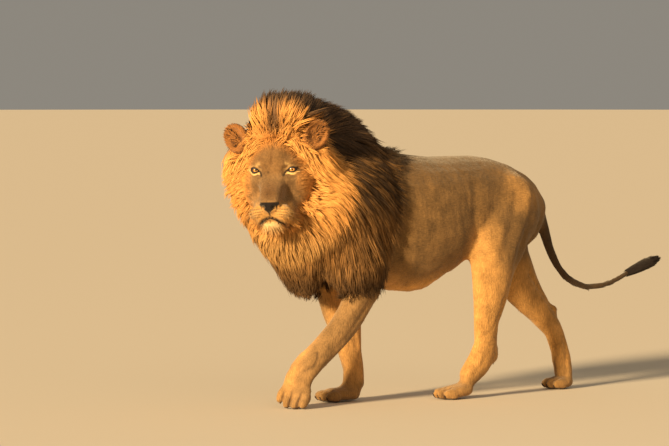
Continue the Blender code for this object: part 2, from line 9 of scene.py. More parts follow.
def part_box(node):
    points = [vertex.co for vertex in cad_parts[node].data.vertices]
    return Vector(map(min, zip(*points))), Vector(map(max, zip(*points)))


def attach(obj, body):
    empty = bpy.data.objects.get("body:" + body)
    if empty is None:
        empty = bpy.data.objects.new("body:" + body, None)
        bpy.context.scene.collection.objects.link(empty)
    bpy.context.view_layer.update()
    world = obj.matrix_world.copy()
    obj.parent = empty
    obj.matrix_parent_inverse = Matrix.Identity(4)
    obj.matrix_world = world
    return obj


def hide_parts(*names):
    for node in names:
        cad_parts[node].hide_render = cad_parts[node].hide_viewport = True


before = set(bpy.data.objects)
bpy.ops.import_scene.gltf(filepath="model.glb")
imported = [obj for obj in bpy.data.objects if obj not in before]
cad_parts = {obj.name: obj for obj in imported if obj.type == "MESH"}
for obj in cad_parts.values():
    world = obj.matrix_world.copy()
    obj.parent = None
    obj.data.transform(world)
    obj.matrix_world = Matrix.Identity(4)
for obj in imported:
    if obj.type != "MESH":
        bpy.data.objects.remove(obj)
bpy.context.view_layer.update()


# ---- Floor, light and view ----
# The model stands on a plain pale studio floor that runs out of sight. A warm sun stands low
# in front of the lion, and a large weak lamp fills the shadows from the viewer's side.
HEAD_TURN = radians(46)              # the head is turned to the lion's left
HEAD_ROLL = radians(1.5)             # and its left side is carried a little higher
EYE_DEPTH = 0.0155                   # the middles of the eyeballs lie this far behind the lids
VIEW_AZIMUTH = radians(56.0)         # from straight ahead of the lion round to its left
VIEW_DROP = radians(2.446)           # the camera looks down by this
EYES_TO_CAMERA = Vector((14.854, -9.696, 0.525))
LENS_MM = 217.9
FLOOR_RADIUS = 90.0
MIDDLE = Vector((0, 0, 0.7))
KEY_TO_LAMP = Vector((0.355, -0.92, 0.27))
KEY_DISTANCE, KEY_STRENGTH, KEY_SPREAD = 30, 8.2, radians(8)
FILL_TO_LAMP = Vector((0.85, -0.30, 0.50))
FILL_DISTANCE, FILL_WATTS, FILL_SIZE = 12.0, 130, 6.0
ROOM_STRENGTH = 0.28
FLOOR_COLOUR, ROOM_COLOUR = (0.74, 0.61, 0.45, 1), (0.95, 0.87, 0.74, 1)
KEY_COLOUR, FILL_COLOUR = (1.0, 0.80, 0.50), (1.0, 0.86, 0.60)

forward = Vector((sin(HEAD_TURN), -cos(HEAD_TURN), 0))
eye_corners = [Vector(corner) for side in ("left", "right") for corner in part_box("eye_" + side)]
eyes_middle = sum(eye_corners, Vector()) / 4 + forward * EYE_DEPTH

bpy.ops.mesh.primitive_circle_add(vertices=96, radius=FLOOR_RADIUS, fill_type="NGON")
floor = bpy.context.object
floor.name = "studio_floor"
floor_paint = bpy.data.materials.new("floor_paint")
floor_paint.use_nodes = True
floor_shader = floor_paint.node_tree.nodes["Principled BSDF"]
floor_shader.inputs["Base Color"].default_value = FLOOR_COLOUR
floor_shader.inputs["Roughness"].default_value = 0.9
floor.data.materials.append(floor_paint)


def add_lamp(name, kind, way, distance, power, colour):
    """A lamp at a distance from the middle of the model along a way, facing that middle."""
    lamp = bpy.data.lights.new(name, kind)
    lamp.energy = power
    lamp.color = colour
    lamp_object = bpy.data.objects.new(name, lamp)
    bpy.context.collection.objects.link(lamp_object)
    lamp_object.location = MIDDLE + way.normalized() * distance
    lamp_object.rotation_euler = way.to_track_quat("Z", "Y").to_euler()
    return lamp


key = add_lamp("key_lamp", "SUN", KEY_TO_LAMP, KEY_DISTANCE, KEY_STRENGTH, KEY_COLOUR)
key.angle = KEY_SPREAD
fill = add_lamp("fill_lamp", "AREA", FILL_TO_LAMP, FILL_DISTANCE, FILL_WATTS, FILL_COLOUR)
fill.size = FILL_SIZE
room = bpy.data.worlds.new("room")
room.use_nodes = True
room.node_tree.nodes["Background"].inputs["Color"].default_value = ROOM_COLOUR
room.node_tree.nodes["Background"].inputs["Strength"].default_value = ROOM_STRENGTH
bpy.context.scene.world = room
bpy.context.scene.view_settings.view_transform = "Standard"

camera = bpy.data.objects.new("camera", bpy.data.cameras.new("camera"))
bpy.context.collection.objects.link(camera)
camera.data.lens = LENS_MM
camera.data.clip_end = 300
camera.rotation_euler = (radians(90) - VIEW_DROP, 0, VIEW_AZIMUTH)
camera.location = eyes_middle + EYES_TO_CAMERA
bpy.context.scene.camera = camera


# ---- Skin ----
# One hide over the whole lion: the flesh fused, smoothed and drawn in by the coat's depth. The
# face is worked out afresh from its muscles and bones, with lids, nose, lips and chin.
FLESH = [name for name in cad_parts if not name.startswith(("mane", "eye", "ear"))]
HIDE_GRAIN = 0.0098                  # spacing of the hide's points before the face is made finer
COAT_DEPTH = 0.006
FACE_COAT = 0.004                    # the coat is thinner on the face
EYE_OUT = 0.081                      # from the middle of the face to the middle of each eye
EYE_RADIUS = 0.0215
LID_THICKNESS = 0.0028
LID_LENGTH = 0.0215                  # half the length of the opening between the lids
LID_SLANT = radians(13)              # the outer corner of each eye is the higher one
UPPER_LID, LOWER_LID = (0.0088, 0.25), (0.0092, -0.15)   # height at the middle, and lean to the nose
FORWARD = np.array(forward)
LEFT = np.array((cos(HEAD_TURN) * cos(HEAD_ROLL), sin(HEAD_TURN) * cos(HEAD_ROLL), sin(HEAD_ROLL)))
HEAD_AXES = np.array((LEFT, FORWARD, np.cross(FORWARD, LEFT)))
EYES_MIDDLE = np.array(eyes_middle)
BODY_ZERO = EYES_MIDDLE - (0.203, -0.182, 1.066)   # on the floor under the spine, beside the leading toes


def to_head(points):
    """World places as l, f, u: metres to the lion's left, forwards and up from between the eyes."""
    return (points - EYES_MIDDLE) @ HEAD_AXES.T


def from_head(places):
    """The world places of points given as l, f, u."""
    return np.asarray(places, float) @ HEAD_AXES + EYES_MIDDLE


def unit(vectors):
    """Each vector over its own length."""
    return vectors / np.maximum(np.linalg.norm(vectors, axis=-1, keepdims=True), 1e-9)


def smooth_least(a, b, width):
    """The lesser of two distances, rounded where they differ by less than the width."""
    share = np.clip(0.5 + 0.5 * (b - a) / width, 0, 1)
    return b + (a - b) * share - width * share * (1 - share)


def ball(p, middle, radii, turn=0.0):
    """Distance to an ellipsoid: |p/r| (|p/r| - 1) / |p/r^2|, its f axis turned outwards by an angle."""
    q = p - middle
    if turn:
        q = np.stack((q[:, 0] * cos(turn) - q[:, 1] * sin(turn),
                      q[:, 0] * sin(turn) + q[:, 1] * cos(turn), q[:, 2]), axis=1)
    near = np.linalg.norm(q / radii, axis=1)
    slope = np.linalg.norm(q / np.square(radii), axis=1)
    return near * (near - 1) / np.maximum(slope, 1e-9)


def along(p, line):
    """For each point the distance to a line of straight runs, and how far along the line it lies."""
    line = np.asarray(line, float)
    best = np.full(len(p), 1e9)
    place = np.zeros(len(p))
    for run, (start, end) in enumerate(zip(line[:-1], line[1:])):
        way = end - start
        share = np.clip((p - start) @ way / (way @ way), 0, 1)
        gap = np.linalg.norm(p - start - share[:, None] * way, axis=1)
        nearer = gap < best
        best[nearer] = gap[nearer]
        place[nearer] = (run + share)[nearer]
    return best, place


def strand(p, line, radii):
    """Distance to a rounded strand along a line, its radius blended from point to point."""
    gap, place = along(p, line)
    return gap - np.interp(place, np.arange(len(radii)), radii)


def section_strand(p, rows, squareness=2.3):
    """Distance to a body carried along a line in the middle of the head, d away from the line.

    Rows are f, u, half width, half depth; a section is |l/wide|^n + |d/deep|^n = 1.
    """
    rows = np.asarray(rows, float)
    gap, place = along(p[:, 1:], rows[:, :2])
    wide = np.interp(place, np.arange(len(rows)), rows[:, 2])
    deep = np.interp(place, np.arange(len(rows)), rows[:, 3])
    size = (np.abs(p[:, 0] / wide) ** squareness + (gap / deep) ** squareness) ** (1 / squareness)
    return (size - 1) * np.minimum(wide, deep)


def crease(p, line, width):
    """A groove or ridge along a line: exp(-(d / width)^2)."""
    return np.exp(-(along(p, line)[0] / width) ** 2)


EYE_WAY = unit(np.array((0.26, 0.96, 0.03)))
EYE_AT = np.array((EYE_OUT, 0.0, 0.0)) - (0, EYE_DEPTH, 0)
LID_ALONG = unit(np.cross(EYE_WAY, (-sin(LID_SLANT), 0, cos(LID_SLANT))))
LID_UP = np.cross(LID_ALONG, EYE_WAY)


def lid_shares(p):
    """Places round the left eye: a along the lids from nose to cheek, b upwards, c out of the eye."""
    q = p - EYE_AT
    return q @ LID_ALONG, q @ LID_UP, q @ EYE_WAY


def lid_edge(a, upper):
    """How far an edge of the eye's opening lies from its axis: h (1 - |s|^1.9) (1 - lean s).

    Here s runs from -1 at the corner by the nose to 1 at the outer corner.
    """
    share = np.clip(a / LID_LENGTH, -1, 1)
    height, lean = UPPER_LID if upper else LOWER_LID
    return height * (1 - np.abs(share) ** 1.9) * (1 - lean * share)


def eye_opening(p):
    """Distance in the plane of the lids to the edge of the opening, below zero inside it."""
    a, b, c = lid_shares(p)
    over = b - lid_edge(a, True)
    under = -b - lid_edge(a, False)
    return np.maximum(np.maximum(over, under), np.abs(a) - LID_LENGTH)


def face_distance(head_places):
    """Distance to the bare face: its masses joined smoothly, then its folds cut in."""
    p = head_places.copy()
    p[:, 0] = np.abs(p[:, 0])
    d = ball(p, (0, -0.125, 0.045), (0.118, 0.150, 0.112))
    d = smooth_least(d, ball(p, (0, -0.074, 0.046), (0.098, 0.082, 0.074)), 0.03)
    d = smooth_least(d, ball(p, (0.082, -0.105, -0.070), (0.066, 0.105, 0.105)), 0.03)
    d = smooth_least(d, section_strand(p, [(-0.075, -0.010, 0.092, 0.070), (-0.020, -0.052, 0.074, 0.066),
                                           (0.030, -0.092, 0.058, 0.062), (0.078, -0.126, 0.051, 0.052),
                                           (0.108, -0.150, 0.045, 0.038)], 2.7), 0.025)
    # upper jaw, whisker pads and the lips that hang from them
    d = smooth_least(d, section_strand(p, [(-0.060, -0.150, 0.104, 0.070), (0.010, -0.168, 0.088, 0.060),
                                           (0.070, -0.178, 0.064, 0.042)]), 0.02)
    d = smooth_least(d, ball(p, (0.047, 0.066, -0.184), (0.047, 0.058, 0.040), 0.30), 0.012)
    d = smooth_least(d, strand(p, [(0.046, 0.085, -0.203), (0.068, 0.040, -0.217), (0.078, -0.010, -0.219),
                                   (0.080, -0.060, -0.200)], (0.018, 0.019, 0.022, 0.030)), 0.018)
    # lower jaw and chin
    chin = section_strand(p, [(-0.130, -0.165, 0.098, 0.075), (-0.050, -0.205, 0.084, 0.056),
                              (0.020, -0.228, 0.062, 0.038), (0.050, -0.234, 0.045, 0.030)])
    chin = smooth_least(chin, ball(p, (0, 0.056, -0.238), (0.045, 0.036, 0.033)), 0.02)
    d = smooth_least(d, chin, 0.008)
    d = smooth_least(d, strand(p, [(0, 0.086, -0.207), (0.022, 0.083, -0.213), (0.042, 0.068, -0.224),
                                   (0.060, 0.040, -0.234), (0.068, 0.000, -0.240), (0.070, -0.050, -0.236)],
                               (0.016, 0.016, 0.016, 0.016, 0.018, 0.026)), 0.010)
    # brow, cheekbone and the hollow of the temple
    d = smooth_least(d, strand(p, [(0.044, 0.008, 0.026), (0.078, -0.006, 0.036), (0.112, -0.046, 0.028)],
                               (0.017, 0.018, 0.016)), 0.024)
    d = smooth_least(d, strand(p, [(0.066, 0.004, -0.040), (0.098, -0.026, -0.046), (0.128, -0.080, -0.040)],
                               (0.018, 0.027, 0.024)), 0.026)
    # eye socket, then the lids over the ball of the eye
    d = -smooth_least(-d, ball(p, (0.078, 0.016, -0.002), (0.036, 0.022, 0.021), 0.3), 0.016)
    lids = np.linalg.norm(p - EYE_AT, axis=1) - EYE_RADIUS - LID_THICKNESS
    d = smooth_least(d, lids, 0.007)
    # nose pad with its wings
    pad = ball(p, (0, 0.116, -0.152), (0.040, 0.026, 0.020))
    pad = smooth_least(pad, ball(p, (0.030, 0.113, -0.152), (0.019, 0.021, 0.016)), 0.008)
    pad = smooth_least(pad, ball(p, (0, 0.120, -0.170), (0.019, 0.016, 0.018)), 0.010)
    d = smooth_least(d, pad, 0.004)
    neck = strand(p, [(0, -0.106, -0.020), (0.02, -0.211, -0.081)], (0.118, 0.145))
    return smooth_least(d, neck, 0.05)


MOUTH_TURN = (0, 0.16, 0.34, 0.58, 0.95, 1.30)     # angle round the muzzle from its front
MOUTH_UP = (-0.204, -0.210, -0.223, -0.234, -0.242, -0.240)
TEAR_WAY = [(0.0585, -0.006), (0.054, -0.014), (0.049, -0.024)]    # l, u down from the eye's inner corner
LIP_CLEFT = [(0, -0.180), (0, -0.206)]             # l, u from the nose down to the mouth
WHISKER_ROWS = [(-0.166, 0.034, 0.078, 5), (-0.178, 0.030, 0.084, 6), (-0.190, 0.034, 0.086, 6),
                (-0.202, 0.044, 0.084, 5)]         # u, nearest and furthest l, number of whiskers
WHISKER_DROOP = 0.10                               # how far a row falls for each metre outwards


def whisker_roots():
    """The left side's whiskers as l, u: even rows that droop towards the cheek."""
    return np.array([(l, u - WHISKER_DROOP * (l - near)) for u, near, far, count in WHISKER_ROWS
                     for l in np.linspace(near, far, count)])


def soft_step(value, low, high):
    """0 below the low end, 1 above the high end, and 3 t^2 - 2 t^3 between."""
    t = np.clip((value - low) / (high - low), 0, 1)
    return t * t * (3 - 2 * t)


def mouth_line(p):
    """Height over the line of the lips, u - u(angle round the muzzle), and its fade at the corner."""
    angle = np.arctan2(p[:, 0], p[:, 1] + 0.02)
    fade = soft_step(-angle, -1.30, -0.95) * soft_step(p[:, 1], -0.02, 0.01)
    return p[:, 2] - np.interp(angle, MOUTH_TURN, MOUTH_UP), fade


def face_with_folds(head_places):
    """The bare face with its mouth, nostrils, eye openings, creases and whisker roots.

    A groove adds depth * exp(-(d / width)^2) to the distance, and a ridge takes it away.
    """
    d = face_distance(head_places)
    p = head_places.copy()
    p[:, 0] = np.abs(p[:, 0])
    front = p[:, [0, 2]]
    ahead = soft_step(p[:, 1], 0.0, 0.03)
    lips, corner = mouth_line(p)
    d += 0.0065 * np.exp(-(lips / 0.0038) ** 2) * corner
    d -= 0.0018 * np.exp(-((lips + 0.0065) / 0.0035) ** 2) * corner
    d += 0.0035 * crease(front, LIP_CLEFT, 0.0030) * ahead
    for middle, radii in (((0.026, 0.139, -0.160), (0.0080, 0.012, 0.0062)),
                          ((0.037, 0.131, -0.158), (0.0095, 0.010, 0.0034))):
        d = -smooth_least(-d, ball(p, middle, radii), 0.005)
    d += 0.0035 * crease(front, TEAR_WAY, 0.0030) * ahead
    d += 0.0030 * crease(p, [(0.060, 0.060, -0.080), (0.082, 0.034, -0.135), (0.098, 0.010, -0.205)], 0.011)
    d += 0.0018 * crease(front, [(0.058, -0.036), (0.085, -0.040), (0.112, -0.026)], 0.005)
    d += 0.0022 * crease(front, [(0, 0.035), (0, 0.125)], 0.006)
    d -= 0.0030 * crease(front, [(0.020, 0.045), (0.032, 0.115)], 0.014)
    for l, u in whisker_roots():
        d += 0.0009 * np.exp(-((p[:, 0] - l) ** 2 + (p[:, 2] - u) ** 2) / 0.0022 ** 2) * ahead
    pocket = np.maximum(eye_opening(p) + 0.0012, -(lid_shares(p)[2] + 0.006))
    return -smooth_least(-d, pocket, 0.0012)


def fused(names, grain, fillers=()):
    """Copies of CAD solids, and round fillers over the cuts between them, fused into even squares."""
    bm = bmesh.new()
    for name in names:
        bm.from_mesh(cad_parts[name].data)
    bmesh.ops.remove_doubles(bm, verts=bm.verts, dist=1e-5)
    for middle, radii in fillers:
        place = (Matrix.Translation(from_head(middle)) @ Matrix(HEAD_AXES.T).to_4x4()
                 @ Matrix.Diagonal((*radii, 1)))
        made = bmesh.ops.create_icosphere(bm, subdivisions=3, radius=1, matrix=place)
        bmesh.ops.recalc_face_normals(bm, faces=list({face for v in made["verts"] for face in v.link_faces}))
    rough = bpy.data.objects.new("rough_flesh", bpy.data.meshes.new("rough_flesh"))
    bm.to_mesh(rough.data)
    bm.free()
    bpy.context.collection.objects.link(rough)
    remesh = rough.modifiers.new("even", "REMESH")
    remesh.mode = "VOXEL"
    remesh.voxel_size = grain
    even = bpy.data.meshes.new_from_object(rough.evaluated_get(bpy.context.evaluated_depsgraph_get()))
    bpy.data.objects.remove(rough, do_unlink=True)
    return even


def read_points(mesh):
    """A mesh's places, one row each."""
    points = np.empty(len(mesh.vertices) * 3, np.float32)
    mesh.vertices.foreach_get("co", points)
    return points.reshape(-1, 3).astype(float)


def read_edges(mesh):
    """The numbers of the two places that each edge joins."""
    edges = np.empty(len(mesh.edges) * 2, np.int32)
    mesh.edges.foreach_get("vertices", edges)
    return edges.reshape(-1, 2)


def read_normals(mesh):
    """The outward way at each of a mesh's places."""
    normals = np.empty(len(mesh.vertices) * 3, np.float32)
    mesh.vertex_normals.foreach_get("vector", normals)
    return normals.reshape(-1, 3).astype(float)


def write_points(mesh, points):
    """Moves a mesh's places to the rows given."""
    mesh.vertices.foreach_set("co", points.astype(np.float32).ravel())
    mesh.update()


IN_AND_OUT = [0.5, -0.52]            # a pull in and a push out, which smooth and keep the size


def smoothed(points, edges, pulls, strength=1.0):
    """Each pull moves every point, by its strength, that share of the way to its neighbours' mean."""
    ends = np.concatenate((edges[:, 0], edges[:, 1]))
    starts = np.concatenate((edges[:, 1], edges[:, 0]))
    count = np.bincount(ends, minlength=len(points))[:, None]
    for pull in pulls:
        mean = np.stack([np.bincount(ends, column[starts], len(points)) for column in points.T], 1) / count
        points = points + pull * strength * (mean - points)
    return points


def evened(mesh, rounds):
    """A mesh's places after rounds of a pull in and a push out."""
    return smoothed(read_points(mesh), read_edges(mesh), IN_AND_OUT * rounds)


def face_share(points):
    """1 on the face, fading to 0 under the ruff and down the throat."""
    p = to_head(points)
    return (soft_step(p[:, 1], -0.200, -0.130) * soft_step(p[:, 2], -0.400, -0.330)
            * (np.linalg.norm(p + (0, 0.05, 0.06), axis=1) < 0.36))


def make_finer(mesh, chosen):
    """Every face whose middle is chosen is cut in four."""
    bm = bmesh.new()
    bm.from_mesh(mesh)
    middles = np.array([face.calc_center_median() for face in bm.faces])
    picked = chosen(middles)
    edges = {edge for face, pick in zip(bm.faces, picked) if pick for edge in face.edges}
    bmesh.ops.subdivide_edges(bm, edges=list(edges), cuts=1, use_grid_fill=True)
    bm.to_mesh(mesh)
    bm.free()


def on_face(middles):
    """Whether a place lies on the front of the head, where the skin's faces are cut in four."""
    p = to_head(middles)
    return (p[:, 1] > -0.13) & (np.abs(p[:, 0]) < 0.17) & (p[:, 2] > -0.30) & (p[:, 2] < 0.17)


def on_features(middles):
    """Whether a place lies round an eye or on the muzzle, where faces are cut in four once more."""
    p = to_head(middles)
    p[:, 0] = np.abs(p[:, 0])
    eye = np.linalg.norm(p - (EYE_OUT, 0, 0), axis=1) < 0.034
    muzzle = (p[:, 1] > 0.020) & (p[:, 2] < -0.132) & (p[:, 2] > -0.258) & (p[:, 0] < 0.090)
    return eye | muzzle


def moved_onto(places, distance, rounds):
    """Places moved down the slope s of a distance d until they are the coat's depth inside.

    Each round moves p to p - s d / |s|^2, by no more than the longest move.
    """
    p = places.copy()
    step, longest = 0.0006, 0.008
    for _ in range(rounds):
        here = distance(p) + FACE_COAT
        slope = np.stack([distance(p + step * axis) + FACE_COAT - here for axis in np.eye(3)], 1) / step
        reach = here / np.maximum((slope ** 2).sum(1), 0.25)
        p -= slope * np.clip(reach, -longest, longest)[:, None]
    return p


def moved_onto_face(points, share, rounds):
    """The points that have a share in the face, moved by it towards the face's surface."""
    chosen = share > 0
    start = points[chosen]
    end = from_head(moved_onto(to_head(start), face_with_folds, rounds))
    result = points.copy()
    result[chosen] += (end - start) * share[chosen][:, None]
    return result


# heel, knuckles, width, droop of the toes and tilt of the foot, from the middle of the left toes
PAWS = [((0.070, 0.040, 0.128), (0.094, 0.000, 0.068), 0.172, radians(58), 0.20),
        ((-0.100, 0.450, 0.036), (-0.104, 0.332, 0.032), 0.146, 0.0, 0.0),
        ((0.090, 0.945, 0.046), (0.084, 0.852, 0.031), 0.138, 0.0, 0.0),
        ((-0.098, 1.662, 0.036), (-0.100, 1.610, 0.031), 0.136, 0.0, 0.0)]
TOES = [(-1.36, 0.018), (-0.47, 0.034), (0.47, 0.034), (1.36, 0.018)]  # quarter widths aside, reach ahead
TOE_CLEFTS = (-0.915, 0.0, 0.915)                  # between the toes, in quarter widths


def paw_axes(heel, knuckle, drop, tilt):
    """Three unit ways of a foot: to its left side, along its toes, and up from them."""
    ahead = unit((np.array(knuckle) - heel) * (1, 1, 0))
    beside = unit(np.array((-ahead[1], ahead[0], -tilt)))
    nail_way = ahead * cos(drop) - np.array((0, 0, sin(drop)))
    return beside, nail_way, np.cross(beside, nail_way)


def toe_middles(heel, knuckle, width, drop, tilt):
    """The middles of a foot's four toes, the inner two reaching further."""
    beside, nail_way, up = paw_axes(heel, knuckle, drop, tilt)
    return [np.array(knuckle) + beside * (aside * width * 0.25) + nail_way * reach - (0, 0, 0.005)
            for aside, reach in TOES]


def paw_distance(q, heel, knuckle, width, drop, tilt):
    """Distance to a foot: its middle, four toes each with a knuckle behind the nail, and a heel pad."""
    axes = np.array(paw_axes(heel, knuckle, drop, tilt))
    local = (q - knuckle) @ axes.T
    back = (np.array(heel) - knuckle) @ axes.T
    d = strand(local / (width / 0.074, 1, 1), [back * (0, 1, 1), (0, 0.0, 0.0)], (0.038, 0.034))
    toes = np.full(len(q), 1.0)
    for middle in toe_middles(heel, knuckle, width, drop, tilt):
        at = (middle - knuckle) @ axes.T
        splay = 1.0 if abs(at[0]) < width * 0.2 else 0.92
        toe = ball(local, at + (0, 0.004, -0.001), (width * 0.140 * splay, 0.039, 0.028 * splay))
        toe = smooth_least(toe, ball(local, at + (0, -0.014, 0.010), (width * 0.112, 0.024, 0.022)), 0.008)
        toes = smooth_least(toes, toe, 0.005)
    return smooth_least(d, toes, 0.013)


def paw_share(points):
    """For each foot, 1 over its toes and fading out behind the knuckles."""
    q = points - BODY_ZERO
    shares = []
    for heel, knuckle, width, drop, tilt in PAWS:
        local = (q - knuckle) @ np.array(paw_axes(heel, knuckle, drop, tilt)).T
        shares.append(soft_step(local[:, 1], -0.040, -0.012) * (np.linalg.norm(local, axis=1) < 0.14))
    return shares


def moved_onto_paws(points, rounds):
    """The points over each foot's toes, moved by their share towards that foot's surface."""
    q = points - BODY_ZERO
    for share, foot in zip(paw_share(points), PAWS):
        chosen = share > 0
        moved = moved_onto(q[chosen], lambda places: paw_distance(places, *foot), rounds)
        q[chosen] += (moved - q[chosen]) * share[chosen][:, None]
    return q + BODY_ZERO


def on_paws(middles):
    """Whether a place lies over the toes of a foot, where the skin's faces are cut in four."""
    return np.max(paw_share(middles), axis=0) > 0.02


# folds and muscles as lines of y, z with a width and a depth, grooves below zero: the trunk's, then
# those of the left hind leg, the right one, the left foreleg and the right one
WRIST_FOLD = [(0.088, 0.246), (0.084, 0.222), (0.067, 0.190), (0.026, 0.170)]
LEFT_RELIEF = [([(0.47, 1.00), (0.49, 0.85), (0.50, 0.68)], 0.034, -0.010),
               ([(0.925, 0.97), (0.93, 0.84), (0.945, 0.71)], 0.028, -0.007),
               ([(1.00, 0.96), (0.985, 0.80), (0.95, 0.66)], 0.030, 0.004),
               ([(1.170, 0.93), (1.12, 0.80), (1.06, 0.66)], 0.028, -0.007),
               ([(1.245, 0.93), (1.20, 0.80), (1.12, 0.66)], 0.022, 0.005),
               ([(1.21, 0.76), (1.14, 0.61)], 0.020, -0.006),
               ([(0.79, 0.89), (0.80, 0.82), (0.815, 0.75)], 0.0070, -0.0015),
               ([(0.83, 0.91), (0.845, 0.84), (0.85, 0.79)], 0.0070, -0.0014),
               ([(0.86, 1.05), (0.875, 0.95), (0.885, 0.88)], 0.012, -0.0025),
               ([(0.60, 0.98), (0.62, 0.85), (0.64, 0.74)], 0.016, 0.0022),
               ([(0.68, 1.00), (0.70, 0.86), (0.73, 0.72)], 0.016, 0.0022),
               ([(0.62, 0.61), (0.70, 0.575), (0.80, 0.60)], 0.012, -0.0035),
               ([(0.70, 0.64), (0.78, 0.625), (0.88, 0.66)], 0.010, -0.0025),
               ([(0.895, 0.67), (0.93, 0.72)], 0.016, 0.005)]
LEFT_HIND = [([(0.925, 0.64), (0.915, 0.60)], 0.022, 0.004),
             ([(0.96, 0.56), (1.00, 0.44), (1.02, 0.34)], 0.014, -0.003),
             ([(1.085, 0.45), (1.075, 0.36), (1.078, 0.28)], 0.011, -0.008),
             ([(0.99, 0.28), (1.04, 0.325), (1.075, 0.385)], 0.008, -0.003),
             ([(1.035, 0.215), (0.99, 0.150), (0.95, 0.11)], 0.009, -0.0035),
             ([(1.00, 0.21), (0.96, 0.150), (0.92, 0.10)], 0.010, 0.0025)]
RIGHT_HIND = [([(1.44, 0.55), (1.55, 0.42), (1.62, 0.34)], 0.012, -0.007),
              ([(1.63, 0.24), (1.64, 0.15)], 0.010, -0.004)]
LEFT_FORE = [([(0.33, 0.46), (0.24, 0.33), (0.16, 0.24)], 0.014, -0.0045),
             ([(0.27, 0.47), (0.19, 0.36), (0.12, 0.27)], 0.018, 0.003),
             (WRIST_FOLD, 0.0065, -0.005),
             ([(0.062, 0.236), (0.046, 0.208), (0.018, 0.190)], 0.015, 0.005)]
RIGHT_FORE = [([(0.42, 0.46), (0.43, 0.34), (0.44, 0.24)], 0.012, -0.0045),
              ([(0.455, 0.22), (0.46, 0.15), (0.455, 0.10)], 0.010, -0.003)]
# round hollows and swellings of both sides: middle, width and depth
HOLLOWS = [((0.19, 1.17, 0.72), 0.070, -0.012), ((0.20, 0.90, 0.86), 0.085, -0.010),
           ((0.20, 0.49, 0.76), 0.075, -0.020), ((0.11, 1.10, 1.09), 0.05, 0.007),
           ((0.03, 1.34, 1.03), 0.05, 0.004)]


def relief(points, normals):
    """How far the skin is raised: the sum of depth * exp(-(d / width)^2) over the lines and hollows."""
    q = points - BODY_ZERO
    x, side = q[:, 0], q[:, 1:]
    outward = soft_step(np.abs(normals[:, 0]), 0.15, 0.5)
    height = np.zeros(len(q))
    mirrored = q * (np.sign(x)[:, None] * (1, 0, 0) + (0, 1, 1))
    for lines, gate in ((LEFT_RELIEF, q[:, 2] > 0.54), (LEFT_HIND, (x > 0) & (q[:, 1] > 0.7)),
                        (RIGHT_HIND, (x < 0) & (q[:, 1] > 1.0)), (LEFT_FORE, (x > 0) & (q[:, 1] < 0.6)),
                        (RIGHT_FORE, (x < 0) & (q[:, 1] < 0.7))):
        for line, width, depth in lines:
            height += depth * crease(side, line, width) * outward * gate
    for middle, size, depth in HOLLOWS:
        height += depth * np.exp(-(np.linalg.norm(mirrored - middle, axis=1) / size) ** 2)
    return height


# balls of l, f, u and radii that close the cuts between the solids of the jaws
JAW_FILLERS = [((0, 0.005, -0.225), (0.055, 0.085, 0.036)), ((0.055, -0.03, -0.215), (0.035, 0.06, 0.03)),
               ((-0.055, -0.03, -0.215), (0.035, 0.06, 0.03)), ((0, 0.10, -0.155), (0.035, 0.03, 0.025))]
skin_mesh = fused(FLESH, HIDE_GRAIN, JAW_FILLERS)
points = evened(skin_mesh, 45)
write_points(skin_mesh, points)
normals = read_normals(skin_mesh)
points += normals * ((relief(points, normals) - COAT_DEPTH) * (1 - face_share(points)))[:, None]
write_points(skin_mesh, points)
make_finer(skin_mesh, on_face)
make_finer(skin_mesh, on_paws)
points = moved_onto_face(read_points(skin_mesh), face_share(read_points(skin_mesh)), 6)
write_points(skin_mesh, points)
make_finer(skin_mesh, on_features)
points = read_points(skin_mesh)
edges = read_edges(skin_mesh)
share = face_share(points)
points = moved_onto_face(points, share, 5)
points = smoothed(points, edges, [0.4], share[:, None])
points = moved_onto_face(points, share, 3)
points = moved_onto_paws(points, 5)
points[:, 2] = np.maximum(points[:, 2], 0.001)
write_points(skin_mesh, points)
skin = bpy.data.objects.new("skin", skin_mesh)
bpy.context.collection.objects.link(skin)
skin_mesh.shade_smooth()
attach(skin, "root")
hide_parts(*FLESH)


# ---- Markings ----
# The colours of the hide and of the hair over it: tawny on the back, paler below and inside the
# legs, a golden ruff, a near-black crest, dark rims, lips and nose. Skin and coat share them.
def paint(red, green, blue):
    """A colour given as everyday 8-bit values, made linear."""
    c = np.array((red, green, blue)) / 255
    return np.where(c <= 0.04045, c / 12.92, ((c + 0.055) / 1.055) ** 2.4)


BACK, FLANK, BELLY = paint(98, 71, 41), paint(114, 83, 46), paint(204, 148, 76)
FORELEG, HINDLEG, PAW = paint(180, 130, 72), paint(180, 130, 70), paint(150, 110, 62)
FORELEG_OUTSIDE = paint(140, 104, 62)
# the first is the tail's colour: partly its own darker tone, partly painted shade
TAIL_TONE_AND_SHADE, TUFT_BLACK = paint(66, 48, 30), paint(30, 22, 18)
FOREHEAD, BRIDGE, CHEEK = paint(112, 79, 43), paint(102, 70, 38), paint(134, 100, 61)
PAD, CHIN, UNDER_EYE = paint(184, 134, 72), paint(194, 158, 106), paint(224, 178, 112)
RIM, NOSE, LIP = paint(26, 16, 11), paint(27, 18, 15), paint(26, 16, 12)
RUFF, RUFF_TIP, RUFF_LOW = paint(200, 130, 60), paint(224, 158, 84), paint(176, 130, 74)
CREST, CREST_BROWN = paint(76, 58, 45), paint(108, 80, 52)
MANE_DARK, MANE_GOLD = paint(60, 43, 27), paint(128, 89, 46)
# the soles' own dark colour, also laid on as painted shade in the toes' clefts and the left wrist's crease
SOLE_AND_SHADE = paint(58, 42, 34)


def lay_on(colour, over, share):
    """A colour laid over another by a share from 0 to 1."""
    return colour + (over - colour) * np.clip(share, 0, 1)[:, None]


def painted(colour, coats):
    """A ground colour with coats of other colours laid over it in turn, each by its own share."""
    for over, share in coats:
        colour = lay_on(colour, over, share)
    return colour


def face_oval(p):
    """How far out a place lies seen from ahead: |(l, u + 0.07) / (0.150, 0.210)|, 1 at the face's edge."""
    return np.linalg.norm((p + (0, 0, 0.07)) / (0.150, 1, 0.210) * (1, 0, 1), axis=1)


